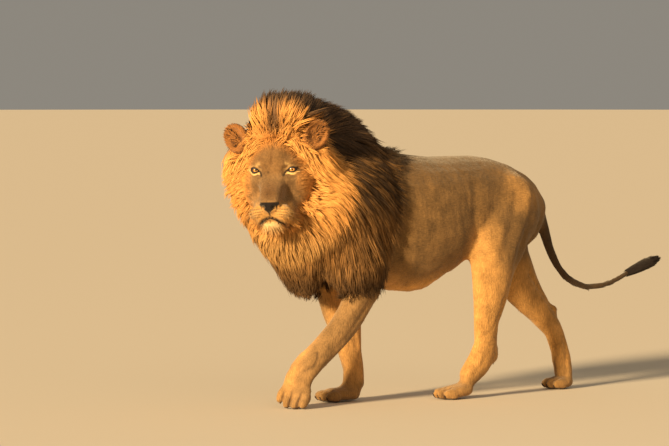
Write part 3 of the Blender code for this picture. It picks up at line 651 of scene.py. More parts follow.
def toe_cleft_shade(q):
    """Painted shade, 1 in the clefts between the toes of each foot: exp(-(d / width)^2) across each cleft.
    """
    share = np.zeros(len(q))
    for heel, knuckle, width, drop, tilt in PAWS:
        local = (q - knuckle) @ np.array(paw_axes(heel, knuckle, drop, tilt)).T
        near = soft_step(local[:, 1], -0.004, 0.014) * (np.linalg.norm(local, axis=1) < 0.13)
        for cleft in TOE_CLEFTS:
            share = np.maximum(share, near * np.exp(-((local[:, 0] - cleft * width * 0.25) / 0.0042) ** 2))
    return share


def body_colours(points):
    """The short coat's colour away from the face: soft bands of x, y and z over the flank's colour."""
    q = points - BODY_ZERO
    x, y, z = q.T
    legs = soft_step(-z, -0.66, -0.46) * np.maximum(soft_step(-y, -0.60, -0.50), soft_step(y, 0.86, 0.96))
    thigh = soft_step(-z, -0.92, -0.62) * soft_step(y, 0.86, 0.94) * soft_step(-y, -1.10, -0.98)
    # painted shade along the wrist's crease, laid on the left foreleg only
    wrist_crease_shade = crease(q[:, 1:], WRIST_FOLD, 0.005)
    tail = soft_step(y, 1.36, 1.46) * soft_step(0.09 - np.abs(x), 0, 0.02) * soft_step(z, 0.40, 0.44)
    return painted(np.tile(FLANK, (len(q), 1)), [
        (BACK, soft_step(z, 0.92, 1.10) * soft_step(-y, -1.25, -1.0)),
        (HINDLEG, 0.6 * soft_step(y, 1.04, 1.24) * soft_step(z, 0.80, 0.95)),
        (BELLY, soft_step(-z, -0.66, -0.52) * soft_step(0.17 - np.abs(x), 0, 0.10)),
        (HINDLEG, thigh),
        (HINDLEG, legs * (y > 0.7)),
        (FORELEG, legs * (y <= 0.7)),
        (PAW, soft_step(-z, -0.16, -0.06)),
        (FORELEG_OUTSIDE, soft_step(-z, -0.62, -0.46) * (y < 0.6) * soft_step(np.abs(x), 0.085, 0.13)),
        # painted shade in the crease of the left wrist
        (SOLE_AND_SHADE, 0.5 * wrist_crease_shade * (x > 0.09)),
        # painted shade in the clefts between the toes
        (SOLE_AND_SHADE, 0.65 * toe_cleft_shade(q)),
        # the tail darker than the flank: partly its own tone, partly painted shade
        (TAIL_TONE_AND_SHADE, tail),
        (SOLE_AND_SHADE, soft_step(-z, -0.012, -0.004)),
        (TUFT_BLACK, soft_step(y, 1.90, 1.97))])


def face_colours(points, colour):
    """The face's own markings laid over the coat's colour: soft bands, spots and lines of l, f and u."""
    p = to_head(points)
    side = p[:, 0].copy()
    p[:, 0] = np.abs(side)
    l, f, u = p.T
    front, both_sides = p[:, [0, 2]], np.stack((side, u), 1)
    face = soft_step(f, -0.15, -0.09) * soft_step(u, -0.36, -0.30)
    dusk = np.exp(-((l / 0.062) ** 2 + ((u + 0.090) / 0.052) ** 2))
    dusk = np.maximum(dusk, 0.6 * np.exp(-(((l - 0.082) / 0.034) ** 2 + ((u + 0.075) / 0.046) ** 2)))
    a, b, c = lid_shares(p)
    near_eye = soft_step(c, -0.015, 0.0)
    opening = eye_opening(p)
    below = soft_step(-b, -0.002, 0.004)
    pale_below = soft_step(-np.abs(opening - 0.009), -0.0065, -0.003)
    pale_above = soft_step(-np.abs(opening - 0.011), -0.006, -0.003)
    lips, corner = mouth_line(p)
    spots = sum(np.exp(-((l - at) ** 2 + (u - height) ** 2) / 0.0028 ** 2) for at, height in whisker_roots())
    rows = [crease(front, [(near, height), (far, height - WHISKER_DROOP * (far - near))], 0.0022)
            for height, near, far, _ in WHISKER_ROWS]
    on_pad = soft_step(f, 0.0, 0.03)
    pad_side = soft_step(0.047 - l - 1.15 * np.maximum(0, -u - 0.147), 0, 0.004)
    nose = soft_step(f, 0.100, 0.106) * soft_step(-u, 0.134, 0.139) * pad_side * soft_step(u, -0.190, -0.186)
    face_colour = painted(np.tile(FOREHEAD, (len(p), 1)), [
        (CHEEK, soft_step(-u, 0.0, 0.05)),
        (BRIDGE, dusk),
        (RUFF, soft_step(l - 0.25 * np.maximum(0, u), 0.092, 0.128) * 0.9),
        (RUFF, soft_step(-u, 0.16, 0.24) * soft_step(l, 0.075, 0.100) * 0.8),
        (RUFF, soft_step(face_oval(p), 0.72, 0.98) * 0.85),
        (PAD, soft_step(-u, 0.128, 0.155) * soft_step(f, -0.02, 0.03)),
        (CHIN, soft_step(-u, 0.215, 0.235) * soft_step(-l, -0.075, -0.04)),
        (BRIDGE, 0.75 * crease(both_sides, [(0.005, 0.115), (-0.006, 0.030)], 0.006)),
        (RIM, 0.75 * crease(both_sides, [(-0.018, -0.008), (-0.017, -0.011)], 0.0035)),
        (BRIDGE, 0.7 * crease(front, [(0.052, 0.034), (0.057, 0.050)], 0.007)),
        (UNDER_EYE, 0.45 * crease(front, [(0.060, 0.028), (0.072, 0.022)], 0.007)),
        (UNDER_EYE, near_eye * below * pale_below),
        (UNDER_EYE, 0.15 * near_eye * (1 - below) * pale_above),
        (RIM, near_eye * soft_step(-opening, -0.0055, -0.0038)),
        (RIM, crease(front, TEAR_WAY, 0.0042) * soft_step(f, 0.0, 0.01) * 1.3),
        (LIP, 1.9 * np.exp(-((lips + 0.001) / 0.0060) ** 2) * corner),
        (LIP, 1.2 * crease(front, LIP_CLEFT, 0.0032) * soft_step(f, 0.08, 0.1)),
        (BRIDGE, 0.8 * spots * on_pad),
        *((BRIDGE, 0.55 * row * on_pad) for row in rows),
        (NOSE, nose)])
    return colour + (face_colour - colour) * face[:, None]


def skin_colours(points):
    """All the skin's colours, with the dark root of the mane under the long hair."""
    q = points - BODY_ZERO
    p = to_head(points)
    colour = body_colours(points)
    under_mane = (soft_step(-q[:, 1], -0.42, -0.36) * soft_step(q[:, 2], 0.50, 0.58)
                  * soft_step(-p[:, 1], 0.09, 0.13))
    colour = lay_on(colour, MANE_DARK, under_mane)
    return face_colours(points, colour)


def lay_colours(mesh, colours):
    """Stores linear colours at the points, as the attribute that the materials read."""
    layer = mesh.color_attributes.new("markings", "FLOAT_COLOR", "POINT")
    rgba = np.ones((len(colours), 4), np.float32)
    rgba[:, :3] = colours
    layer.data.foreach_set("color", rgba.ravel())


lay_colours(skin_mesh, skin_colours(points))


def add_node(tree, kind, values, **settings):
    """A shader node of a kind; each of its named inputs is given a value, or joined to a socket."""
    node = tree.nodes.new("ShaderNode" + kind)
    for setting, choice in settings.items():
        setattr(node, setting, choice)
    for name, value in values.items():
        if isinstance(value, bpy.types.NodeSocket):
            tree.links.new(value, node.inputs[name])
        else:
            node.inputs[name].default_value = value
    return node


def grain_group():
    """Hair grain: fine noise drawn out along the lie of the coat, backwards or down the legs.

    On the head it is coarser and even. Height adds soft folds to the grain, and Shade adds patches.
    """
    group = bpy.data.node_groups.new("hair_grain", "ShaderNodeTree")
    for name, kind in (("Vector", "NodeSocketVector"), ("Fineness", "NodeSocketFloat")):
        group.interface.new_socket(name, in_out="INPUT", socket_type=kind)
    for name in ("Height", "Shade"):
        group.interface.new_socket(name, in_out="OUTPUT", socket_type="NodeSocketFloat")
    inputs, outputs = group.nodes.new("NodeGroupInput"), group.nodes.new("NodeGroupOutput")
    place, fineness = inputs.outputs["Vector"], inputs.outputs["Fineness"]

    def noise(stretch, scale, detail, roughness):
        """Noise of a scale over places stretched along the axes."""
        stretched = add_node(group, "Mapping", {"Vector": place, "Scale": stretch})
        return add_node(group, "TexNoise", {"Vector": stretched.outputs[0], "Scale": scale, "Detail": detail,
                                            "Roughness": roughness}).outputs["Fac"]

    parts = add_node(group, "SeparateXYZ", {0: place})
    legs = add_node(group, "MapRange", {"Value": parts.outputs["Z"], "From Min": 0.72, "From Max": 0.50})
    body = add_node(group, "Mix", {"Factor": legs.outputs[0], "A": noise((1, 0.16, 1), fineness, 4, 0.65),
                                   "B": noise((1, 1, 0.16), fineness, 4, 0.65)})
    gap = add_node(group, "VectorMath", {0: place, 1: EYES_MIDDLE}, operation="DISTANCE")
    head = add_node(group, "MapRange", {"Value": gap.outputs["Value"], "From Min": 0.34, "From Max": 0.26})
    grain = add_node(group, "Mix", {"Factor": head.outputs[0], "A": body.outputs["Result"],
                                    "B": noise((0.42, 0.42, 0.42), fineness, 5, 0.7)})
    folds, patches = noise((1, 1, 0.4), 42, 3, 0.5), noise((1, 1, 1), 11, 5, 0.68)
    for name, broad in (("Height", folds), ("Shade", patches)):
        both = add_node(group, "Math", {0: grain.outputs["Result"], 1: broad}, operation="ADD")
        group.links.new(both.outputs[0], outputs.inputs[name])
    return group


hair_grain = grain_group()


def hair_material(name, fineness, depth, contrast, roughness, sheen):
    """A coat finish: the stored markings times 1 - contrast to 1 + contrast by the grain, and its bumps."""
    finish = bpy.data.materials.new(name)
    finish.use_nodes = True
    tree = finish.node_tree
    shader = tree.nodes["Principled BSDF"]
    shader.inputs["Roughness"].default_value = roughness
    shader.inputs["Sheen Weight"].default_value = sheen
    shader.inputs["Sheen Roughness"].default_value = 0.45
    shader.inputs["Sheen Tint"].default_value = (1.0, 0.86, 0.66, 1)
    shader.inputs["Specular IOR Level"].default_value = 0.14
    place = add_node(tree, "TexCoord", {})
    grain = add_node(tree, "Group", {}, node_tree=hair_grain)
    grain.inputs["Fineness"].default_value = fineness
    tree.links.new(place.outputs["Object"], grain.inputs["Vector"])
    markings = add_node(tree, "Attribute", {}, attribute_name="markings")
    light = add_node(tree, "MapRange", {"Value": grain.outputs["Shade"], "From Min": 0.7, "From Max": 1.3,
                                        "To Min": 1 - contrast, "To Max": 1 + contrast})
    shaded = add_node(tree, "VectorMath", {0: markings.outputs["Color"], "Scale": light.outputs[0]},
                      operation="SCALE")
    bump = add_node(tree, "Bump", {"Height": grain.outputs["Height"], "Distance": depth, "Strength": 0.8})
    tree.links.new(shaded.outputs[0], shader.inputs["Base Color"])
    tree.links.new(bump.outputs[0], shader.inputs["Normal"])
    return finish


skin_mesh.materials.append(hair_material("short_coat", fineness=260, depth=0.0050, contrast=0.48,
                                         roughness=0.78, sheen=0.25))


# ---- Eyes ----
# Two glass eyeballs with amber irises and round pupils, looking the way the face turns its gaze, and
# the dark rolled rims of the lids, bare skin that closes on the ball all round.
IRIS_RADIUS, PUPIL_RADIUS, CORNEA_RISE = 0.0128, 0.0040, 0.0010
EYE_SIDES, IRIS_STREAKS = 72, 23
RIM_TURNS, RIM_SIDES = 56, 10
AMBER, AMBER_EDGE, EYE_WHITE = paint(204, 138, 50), paint(140, 84, 26), paint(74, 50, 38)
RIM_WIDE, RIM_HIGH = 0.0029, 0.0017
GAZE = EYES_TO_CAMERA / np.linalg.norm(EYES_TO_CAMERA)


def triangle_mesh(name, points, triangles):
    """A mesh from whole arrays of places and of triples of place numbers."""
    mesh = bpy.data.meshes.new(name)
    mesh.vertices.add(len(points))
    mesh.vertices.foreach_set("co", points.astype(np.float32).ravel())
    mesh.loops.add(triangles.size)
    mesh.loops.foreach_set("vertex_index", triangles.astype(np.int32).ravel())
    mesh.polygons.add(len(triangles))
    mesh.polygons.foreach_set("loop_start", np.arange(0, triangles.size, 3, dtype=np.int32))
    mesh.update(calc_edges=True)
    mesh.shade_smooth()
    return mesh


def new_piece(name, mesh):
    """A finished mesh as an object that rides with the lion."""
    piece = bpy.data.objects.new(name, mesh)
    bpy.context.collection.objects.link(piece)
    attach(piece, "root")
    return piece


def band_triangles(rings, sides, close_rings=False):
    """The triangles of a tube: rings of places, each joined to the next, outwards to the right hand."""
    ring = np.arange(rings if close_rings else rings - 1)[:, None]
    side = np.arange(sides)[None, :]
    here, there = ring * sides, (ring + 1) % rings * sides
    a, b = here + side, here + (side + 1) % sides
    c, d = there + (side + 1) % sides, there + side
    return np.concatenate([np.stack((a, b, c), -1).reshape(-1, 3), np.stack((a, c, d), -1).reshape(-1, 3)])


def eyeball(middle):
    """A sphere of rings round the gaze and its colours ring by ring.

    At the angle v from the gaze the radius is r + rise * exp(-(v / 0.5)^4), which raises the front.
    """
    polar = np.concatenate((np.linspace(0.012, 0.75, 44), np.linspace(0.82, pi - 0.05, 16)))
    turn = np.arange(EYE_SIDES) * 2 * pi / EYE_SIDES
    across = unit(np.cross(GAZE, (0, 0, 1)))
    high = np.cross(across, GAZE)
    size = EYE_RADIUS + CORNEA_RISE * np.exp(-(polar / 0.5) ** 4)
    ways = (np.cos(polar)[:, None, None] * GAZE + np.sin(polar)[:, None, None]
            * (np.cos(turn)[None, :, None] * across + np.sin(turn)[None, :, None] * high))
    points = np.concatenate(((middle + ways * size[:, None, None]).reshape(-1, 3),
                             [middle + GAZE * size[0], middle - GAZE * size[-1]]))
    count = len(polar) * EYE_SIDES
    side = np.arange(EYE_SIDES)
    after = (side + 1) % EYE_SIDES
    last_ring = count - EYE_SIDES
    front = np.stack((np.full(EYE_SIDES, count), side, after), 1)
    back = np.stack((np.full(EYE_SIDES, count + 1), after + last_ring, side + last_ring), 1)
    triangles = np.concatenate((band_triangles(len(polar), EYE_SIDES)[:, ::-1], front, back))
    radius = (np.sin(np.minimum(polar, pi / 2)) * EYE_RADIUS)[:, None] * np.ones(EYE_SIDES)
    streak = 1 + 0.22 * np.sin(turn * IRIS_STREAKS + 1.3 * np.sin(turn * 7)) * np.ones((len(polar), 1))
    iris_edge = soft_step(radius, 0.006, IRIS_RADIUS)[..., None]
    dark_ring = soft_step(radius, IRIS_RADIUS - 0.0016, IRIS_RADIUS - 0.0004)[..., None]
    white = soft_step(radius, IRIS_RADIUS + 0.0004, IRIS_RADIUS + 0.003)[..., None]
    colour = (AMBER + (AMBER_EDGE - AMBER) * iris_edge) * streak[..., None]
    colour = colour + (RIM - colour) * dark_ring
    colour = colour + (EYE_WHITE - colour) * white
    colour = colour * soft_step(radius, PUPIL_RADIUS - 0.0003, PUPIL_RADIUS + 0.0005)[..., None]
    return points, triangles, np.concatenate((colour.reshape(-1, 3), np.zeros((2, 3))))


def lid_rim(side):
    """A closed tube of oval section along both edges of an eye's opening, laid on the ball.

    It runs round by an angle v: along the lids by a cos v, up by the lid's edge there.
    """
    turn = np.arange(RIM_TURNS) * 2 * pi / RIM_TURNS
    a = LID_LENGTH * np.cos(turn)
    b = np.where(turn < pi, lid_edge(a, True), -lid_edge(a, False))
    c = np.sqrt(np.maximum((EYE_RADIUS + 0.0012) ** 2 - a ** 2 - b ** 2, 0.0070 ** 2))
    path = EYE_AT + a[:, None] * LID_ALONG + b[:, None] * LID_UP + c[:, None] * EYE_WAY
    out = unit(path - EYE_AT)
    wide = unit(np.cross(np.roll(path, -1, 0) - np.roll(path, 1, 0), out))
    ring = (np.arange(RIM_SIDES) * 2 * pi / RIM_SIDES)[None, :, None]
    slim = 1 - 0.35 * np.abs(a / LID_LENGTH) ** 4 + 0.25 * (turn < pi) * np.sin(turn)
    section = RIM_WIDE * np.cos(ring) * wide[:, None] + RIM_HIGH * np.sin(ring) * out[:, None]
    points = (path[:, None] + slim[:, None, None] * section).reshape(-1, 3) * (side, 1, 1)
    triangles = band_triangles(RIM_TURNS, RIM_SIDES, True)
    return from_head(points), triangles if side > 0 else triangles[:, ::-1]


def joined(parts):
    """Several sets of places and triangles as one."""
    starts = np.cumsum([0] + [len(part[0]) for part in parts[:-1]])
    return (np.concatenate([part[0] for part in parts]),
            np.concatenate([part[1] + start for part, start in zip(parts, starts)]))


def plain_finish(name, colour, roughness, coat=0.0, specular=0.5):
    """A finish of one colour with fine wrinkles; the markings are read where no colour is given."""
    finish = bpy.data.materials.new(name)
    finish.use_nodes = True
    tree = finish.node_tree
    shader = tree.nodes["Principled BSDF"]
    shader.inputs["Roughness"].default_value = roughness
    shader.inputs["Coat Weight"].default_value = coat
    shader.inputs["Coat Roughness"].default_value = 0.03
    shader.inputs["Specular IOR Level"].default_value = specular
    if colour is None:
        markings = add_node(tree, "Attribute", {}, attribute_name="markings")
        tree.links.new(markings.outputs["Color"], shader.inputs["Base Color"])
        return finish
    place = add_node(tree, "TexCoord", {})
    wrinkles = add_node(tree, "TexNoise", {"Vector": place.outputs["Object"], "Scale": 260})
    tint = add_node(tree, "Mix", {"Factor": wrinkles.outputs["Fac"], 6: (*(colour * 0.75), 1),
                                  7: (*(colour * 1.35), 1)}, data_type="RGBA")
    bump = add_node(tree, "Bump", {"Height": wrinkles.outputs["Fac"], "Distance": 0.0008})
    tree.links.new(tint.outputs[2], shader.inputs["Base Color"])
    tree.links.new(bump.outputs[0], shader.inputs["Normal"])
    return finish


balls = [eyeball(from_head(EYE_AT * (side, 1, 1))) for side in (1, -1)]
eyes_mesh = triangle_mesh("eyes", *joined([ball_parts[:2] for ball_parts in balls]))
lay_colours(eyes_mesh, np.concatenate([ball_parts[2] for ball_parts in balls]))
eyes_mesh.materials.append(plain_finish("glass_eye", None, 0.12, coat=1.0))
eyes = new_piece("eyes", eyes_mesh)
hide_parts("eye_left", "eye_right")
rims_mesh = triangle_mesh("lid_rims", *joined([lid_rim(1), lid_rim(-1)]))
rims_mesh.materials.append(plain_finish("bare_rim", RIM, 0.45))
new_piece("lid_rims", rims_mesh)


# ---- Ears ----
# Round cupped ears of thin skin, golden in front, black behind, and painted dark in the cup as its
# shade; they stand up out of the mane and their short fur is part of the same coat.
EARS = ["ear_left", "ear_right"]
EAR_MIDDLES = [np.mean(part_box(name), axis=0) for name in EARS]
EAR_SIZE = (0.062, 0.062, 0.066)
# the cup's colour is painted shade, the dark deep inside the ear
EAR_GOLD, EAR_CUP_SHADE, EAR_BACK = paint(144, 92, 44), paint(44, 27, 16), paint(56, 41, 30)
ears_mesh = fused(EARS, 0.0040)
ear_points = evened(ears_mesh, 10)
write_points(ears_mesh, ear_points)
ears_mesh.shade_smooth()


def ear_gap(points):
    """How far places lie from the nearer ear's middle over the ear's own size, 1 at its edge."""
    return np.min([np.linalg.norm((points - middle) / EAR_SIZE, axis=-1) for middle in EAR_MIDDLES], axis=0)


def ear_colours(points, normals):
    """Gold on the side that faces forwards, painted shade in the middle of the cup, black behind."""
    p = to_head(points)
    facing = normals @ HEAD_AXES[1]
    colour = np.tile(EAR_BACK, (len(p), 1))
    colour = lay_on(colour, EAR_GOLD, soft_step(facing, -0.45, 0.0))
    deep = np.min([np.linalg.norm((points - middle) @ HEAD_AXES[[0, 2]].T + (0, 0.008), axis=1)
                   for middle in EAR_MIDDLES], axis=0)
    # painted shade deep in the cup
    return lay_on(colour, EAR_CUP_SHADE, soft_step(facing, 0.2, 0.6) * soft_step(-deep, -0.038, -0.012))


lay_colours(ears_mesh, ear_colours(ear_points, read_normals(ears_mesh)))
ears_mesh.materials.append(hair_material("ear_coat", fineness=500, depth=0.0020, contrast=0.15,
                                         roughness=0.75, sheen=0.35))
ears = new_piece("ears", ears_mesh)
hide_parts(*EARS)


# ---- Mane ----
# Long coarse hair in locks: a golden ruff that stands round the face, a near-black crest along the
# neck, streaked sides and a dark-tipped apron on the chest. Below, a bed of shorter hair in painted shade.
MANE = [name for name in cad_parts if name.startswith("mane")]
MANE_GRAIN, MANE_DEPTH, ROOT_DEPTH = 0.0125, 0.024, 0.010
GUIDES, HAIRS = 5000, 9              # locks led over the mane, and the strands of each
LOCK_SPREAD, STRAND_WIDTH = 0.0095, 0.0046
LOWEST, FURTHEST_OFF = 0.515, 0.026  # a lock ends before it hangs lower or stands further off
LOCK_STEPS = 5                       # places along a lock, the last one its tip
PATCH = 0.003                        # side of a lock's patch on the colour map
chance = np.random.default_rng(7)


def cells_of(points, size):
    """One whole number for the cube of space each place lies in."""
    keys = np.floor(points / size).astype(np.int64) + 500
    return (keys[:, 0] * 2000 + keys[:, 1]) * 2000 + keys[:, 2]


def near_cloud(points, cloud, size):
    """Whether a place's cube or one beside it holds a place of the cloud."""
    full = np.unique(cells_of(cloud, size))
    result = np.zeros(len(points), bool)
    for step in np.ndindex(3, 3, 3):
        result |= np.isin(cells_of(points + (np.array(step) - 1) * size, size), full)
    return result


def neighbour_table(edges, count, width=9):
    """The numbers of each place's neighbours, one row each, filled up with the place's own number."""
    ends = np.concatenate((edges[:, 0], edges[:, 1]))
    others = np.concatenate((edges[:, 1], edges[:, 0]))
    order = np.argsort(ends, kind="stable")
    ends, others = ends[order], others[order]
    rank = np.arange(len(ends)) - np.searchsorted(ends, ends)
    table = np.tile(np.arange(count)[:, None], (1, width))
    keep = rank < width - 1
    table[ends[keep], rank[keep] + 1] = others[keep]
    return table


def mane_flow(points):
    """The lie of the long hair: out and back round the face, back along the crest, down elsewhere."""
    p, q = to_head(points), points - BODY_ZERO
    around = np.stack((p[:, 0], np.zeros(len(p)), p[:, 2] + 0.05), 1)
    crown = soft_step(p[:, 2], 0.10, 0.16) * soft_step(-np.abs(p[:, 0]), -0.17, -0.08)
    upper = (soft_step(p[:, 2], -0.10, 0.04) * (1 - crown))[:, None]
    ruff_way = unit(unit(around) * (0.95, 1, 0.75) * (1 - 0.55 * upper) + (0, -0.75, -0.22)
                    + upper * (0, -0.1, -0.65)) @ HEAD_AXES
    ruff_way += crown[:, None] * (np.array((0, -0.5, 0.55)) @ HEAD_AXES)
    side = np.sign(q[:, 0]) * soft_step(np.abs(q[:, 0]), 0.02, 0.10)
    side_way = np.stack((0.10 * side, np.full(len(q), 0.62), np.full(len(q), -0.78)), 1)
    crest_way = np.stack((0.35 * side, np.full(len(q), 0.95), np.full(len(q), 0.30)), 1)
    apron_way = np.tile((0.0, 0.10, -1.0), (len(q), 1))
    high = soft_step(q[:, 2], 1.14, 1.27)[:, None]
    low = soft_step(-q[:, 2], -0.86, -0.70)[:, None]
    near_head = soft_step(p[:, 1], -0.42, -0.20)[:, None]
    side_way = side_way + (np.array((0, -0.62, -0.78)) @ HEAD_AXES - side_way) * near_head
    crest_way = crest_way + (np.array((0, -0.95, 0.35)) @ HEAD_AXES - crest_way) * near_head
    way = side_way + (crest_way - side_way) * high
    way = way + (apron_way - way) * low * 0.8
    ruff = ruff_share(points)[:, None]
    return unit(way + (unit(ruff_way) - way) * ruff)


def ruff_share(points):
    """1 in the ruff round the face, 0 behind it, from how far a place lies from the face's middle."""
    p = to_head(points)
    tall = np.where(p[:, 2] > -0.07, 0.345, 0.335)
    wide = np.hypot(p[:, 0] / (0.265 - 0.035 * soft_step(p[:, 2], 0.02, 0.14)), (p[:, 2] + 0.07) / tall)
    return soft_step(-wide, -1.08, -0.92) * soft_step(p[:, 1], -0.24, -0.16)


def mane_length(points):
    """Length of the hair: short at the edge of the face, long at the sides and chest."""
    p, q = to_head(points), points - BODY_ZERO
    ruff = ruff_share(points)
    length = 0.17 + 0.05 * soft_step(-q[:, 2], -1.0, -0.75)
    length = length + (0.135 - length) * soft_step(q[:, 2], 1.20, 1.30)
    ruff_length = 0.055 + 0.085 * soft_step(face_oval(p), 1.0, 1.6) + 0.05 * soft_step(-p[:, 2], 0.15, 0.3)
    return length + (ruff_length - length) * ruff


def mane_depth(points):
    """How far the bed lies under the outer shape.

    It is little beside the face, so that no ledge shows there, and more under the right of the crown
    and along the neck behind the crown, where the mane lies low.
    """
    p, q = to_head(points), points - BODY_ZERO
    beside_face = soft_step(-face_oval(p), -1.45, -1.02) * soft_step(p[:, 1], -0.16, -0.06)
    depth = MANE_DEPTH * (1 - 0.88 * beside_face)
    depth += 0.034 * soft_step(-p[:, 0], 0.02, 0.11) * soft_step(p[:, 2], 0.13, 0.23)
    return depth + 0.042 * soft_step(q[:, 2], 1.10, 1.22) * soft_step(q[:, 1], 0.02, 0.18)


def over_right_ear(points):
    """1 over the hollow between the crown and the right ear, where the mane lies low."""
    l, f, u = to_head(points).T
    return soft_step(-l, 0.10, 0.15) * soft_step(u, 0.13, 0.20) * soft_step(f, -0.32, -0.20)


def combed(paths, rounds):
    """Paths freed of kinks: each inner place is moved to a half and two quarters of its neighbours."""
    for _ in range(rounds):
        middle = 0.5 * paths[:, 1:-1] + 0.25 * (paths[:, :-2] + paths[:, 2:])
        paths = np.concatenate((paths[:, :1], middle, paths[:, -1:]), 1)
    return paths


def walk(starts, first, surface, normals, table, lengths, flow, lift, waver):
    """Carries places over a surface by its flow, and drapes them where the surface falls away.

    Each step goes the flow's way, turned along the surface, and is then set at its height over the
    nearest point. Too low a place rises all the way, and one that is too high by e comes down by the
    share 0.35 + 0.5 e / 12 mm, 0.85 at most. Also gives the nearest points' numbers and the gaps, which
    are the distance from the nearest point less the height asked for, step by step.
    """
    places, nearest, gaps = [starts], [first], [np.zeros(len(first))]
    here, near = starts.copy(), first.copy()
    for step in range(1, LOCK_STEPS):
        share = step / (LOCK_STEPS - 1)
        way = flow(here) + waver * sin(2.6 * step)
        normal = normals[near]
        outward = (way * normal).sum(1)
        way = unit(way - normal * (outward * np.where(outward < 0, 1, 0.55))[:, None])
        here = here + way * (lengths / (LOCK_STEPS - 1))[:, None]
        for _ in range(4):
            choices = table[near]
            gap = np.linalg.norm(surface[choices] - here[:, None], axis=2)
            near = choices[np.arange(len(near)), gap.argmin(1)]
        normal = normals[near]
        offset = here - surface[near]
        rise = lift(share) - (offset * normal).sum(1)
        fall = 0.35 + 0.5 * np.clip(-rise / 0.012, 0, 1)
        here = here + normal * np.where(rise > 0, rise, rise * fall)[:, None]
        places.append(here)
        nearest.append(near)
        gaps.append(np.linalg.norm(offset, axis=1) - np.maximum(0, lift(share)))
    return np.stack(places, 1), np.stack(nearest, 1), np.stack(gaps, 1)


def lock_mesh(name, paths, out, width, thickness, colours, roots_uv, roundness=0.75):
    """Locks as closed three-sided rods: rings of two edges and a ridge, drawn out to one tip.

    Width along a lock is (1 - t^2)^0.7 with a slim root; the ridge is the thickness times that. The
    shading normals lean from the coat's own by the roundness, so that locks blend as soft hair.
    """
    count, steps = paths.shape[:2]
    way = unit(np.gradient(paths, axis=1))
    out = unit(out[:, None] - way * (way * out[:, None]).sum(2)[..., None])
    across = np.cross(way, out)
    t = np.linspace(0, 1, steps)[:-1]
    slim = (1 - t ** 2) ** 0.7 * (0.62 + 0.38 * np.minimum(1, t * 3.5))
    wide = (width[:, None] * slim * 0.5)[..., None]
    deep = (thickness[:, None] * slim)[..., None]
    body = paths[:, :-1]
    rings = np.stack((body + across[:, :-1] * wide, body + out[:, :-1] * deep,
                      body - across[:, :-1] * wide), 2)
    per = (steps - 1) * 3 + 1
    points = np.concatenate((rings.reshape(count, -1, 3), paths[:, -1:]), 1)
    pattern = [(0, 1, 2)]
    for ring in range(steps - 2):
        for side in range(3):
            a, b = ring * 3 + side, ring * 3 + (side + 1) % 3
            pattern += [(a, a + 3, b + 3), (a, b + 3, b)]
    for side in range(3):
        pattern.append(((steps - 2) * 3 + side, per - 1, (steps - 2) * 3 + (side + 1) % 3))
    triangles = (np.array(pattern)[None] + (np.arange(count) * per)[:, None, None]).reshape(-1, 3)
    mesh = triangle_mesh(name, points.reshape(-1, 3), triangles)
    tint = np.concatenate((np.repeat(colours[:, :-1], 3, axis=1), colours[:, -1:]), 1)
    lay_colours(mesh, tint.reshape(-1, 3))
    rows = np.stack((np.tile((1.0, 0.5, 0.0), steps - 1), np.repeat(t, 3)), 1)
    uv = roots_uv[:, None] + np.concatenate((rows, [(0.5, 1.0)]))[None] * PATCH
    layer = mesh.uv_layers.new(name="OFBake")
    layer.data.foreach_set("uv", uv.reshape(-1, 2)[triangles.ravel()].astype(np.float32).ravel())
    lean = across[:, :-1] * roundness
    shading = np.stack((out[:, :-1] + lean, out[:, :-1], out[:, :-1] - lean), 2).reshape(count, -1, 3)
    shading = unit(np.concatenate((shading, out[:, -1:]), 1)).reshape(-1, 3)
    mesh.normals_split_custom_set_from_vertices(shading.astype(np.float32))
    return mesh


def chart_cells(points, normals):
    """Which of 42 squares of the unwrap a place belongs to: its part of the body, and the way it faces."""
    q, p = points - BODY_ZERO, to_head(points)
    part = np.zeros(len(q), int)
    legs = q[:, 2] < 0.58
    part[legs & (q[:, 0] >= 0)] = 2
    part[legs & (q[:, 0] < 0)] = 3
    part[legs & (q[:, 0] >= 0) & (q[:, 1] > 0.62)] = 4
    part[legs & (q[:, 0] < 0) & (q[:, 1] > 0.80)] = 5
    part[(q[:, 1] > 1.48) & (np.abs(q[:, 0]) < 0.06) & (q[:, 2] > 0.42)] = 6
    part[(p[:, 1] > -0.14) & (np.abs(p[:, 0]) < 0.3) & (np.abs(p[:, 2]) < 0.36)] = 1
    axis = np.abs(normals).argmax(1)
    return part * 6 + axis * 2 + (normals[np.arange(len(q)), axis] < 0)


def chart_places(points, cells):
    """Places on the unwrap: seen along the square's axis and fitted to its part's own box."""
    q = points - BODY_ZERO
    lows = np.array([(-0.4, -0.4, 0.4), (-0.4, -0.5, 0.5), (-0.1, -0.2, 0), (-0.3, 0, 0), (-0.1, 0.5, 0),
                     (-0.3, 0.7, 0), (-0.1, 1.4, 0.3)])
    sizes = np.array([2.6, 1.0, 0.85, 0.85, 0.95, 1.2, 0.9])
    part, axis = cells // 6, cells % 6 // 2
    local = (q - lows[part]) / sizes[part][:, None]
    local = np.clip(local, 0.01, 0.97)
    first = np.where(axis == 0, local[:, 1], local[:, 0])
    second = np.where(axis == 2, local[:, 1], local[:, 2])
    return np.stack(((cells % 8 + first) / 8, (cells // 8 + second) / 8), 1)


def unwrap(mesh):
    """The OFBake map of a mesh of one surface, face by face."""
    middles, normals = np.empty(len(mesh.polygons) * 3), np.empty(len(mesh.polygons) * 3)
    mesh.polygons.foreach_get("center", middles)
    mesh.polygons.foreach_get("normal", normals)
    cells = chart_cells(middles.reshape(-1, 3), normals.reshape(-1, 3))
    totals = np.empty(len(mesh.polygons), np.int32)
    mesh.polygons.foreach_get("loop_total", totals)
    corners = np.empty(len(mesh.loops), np.int32)
    mesh.loops.foreach_get("vertex_index", corners)
    uv = chart_places(read_points(mesh)[corners], np.repeat(cells, totals))
    layer = mesh.uv_layers.new(name="OFBake")
    layer.data.foreach_set("uv", uv.astype(np.float32).ravel())


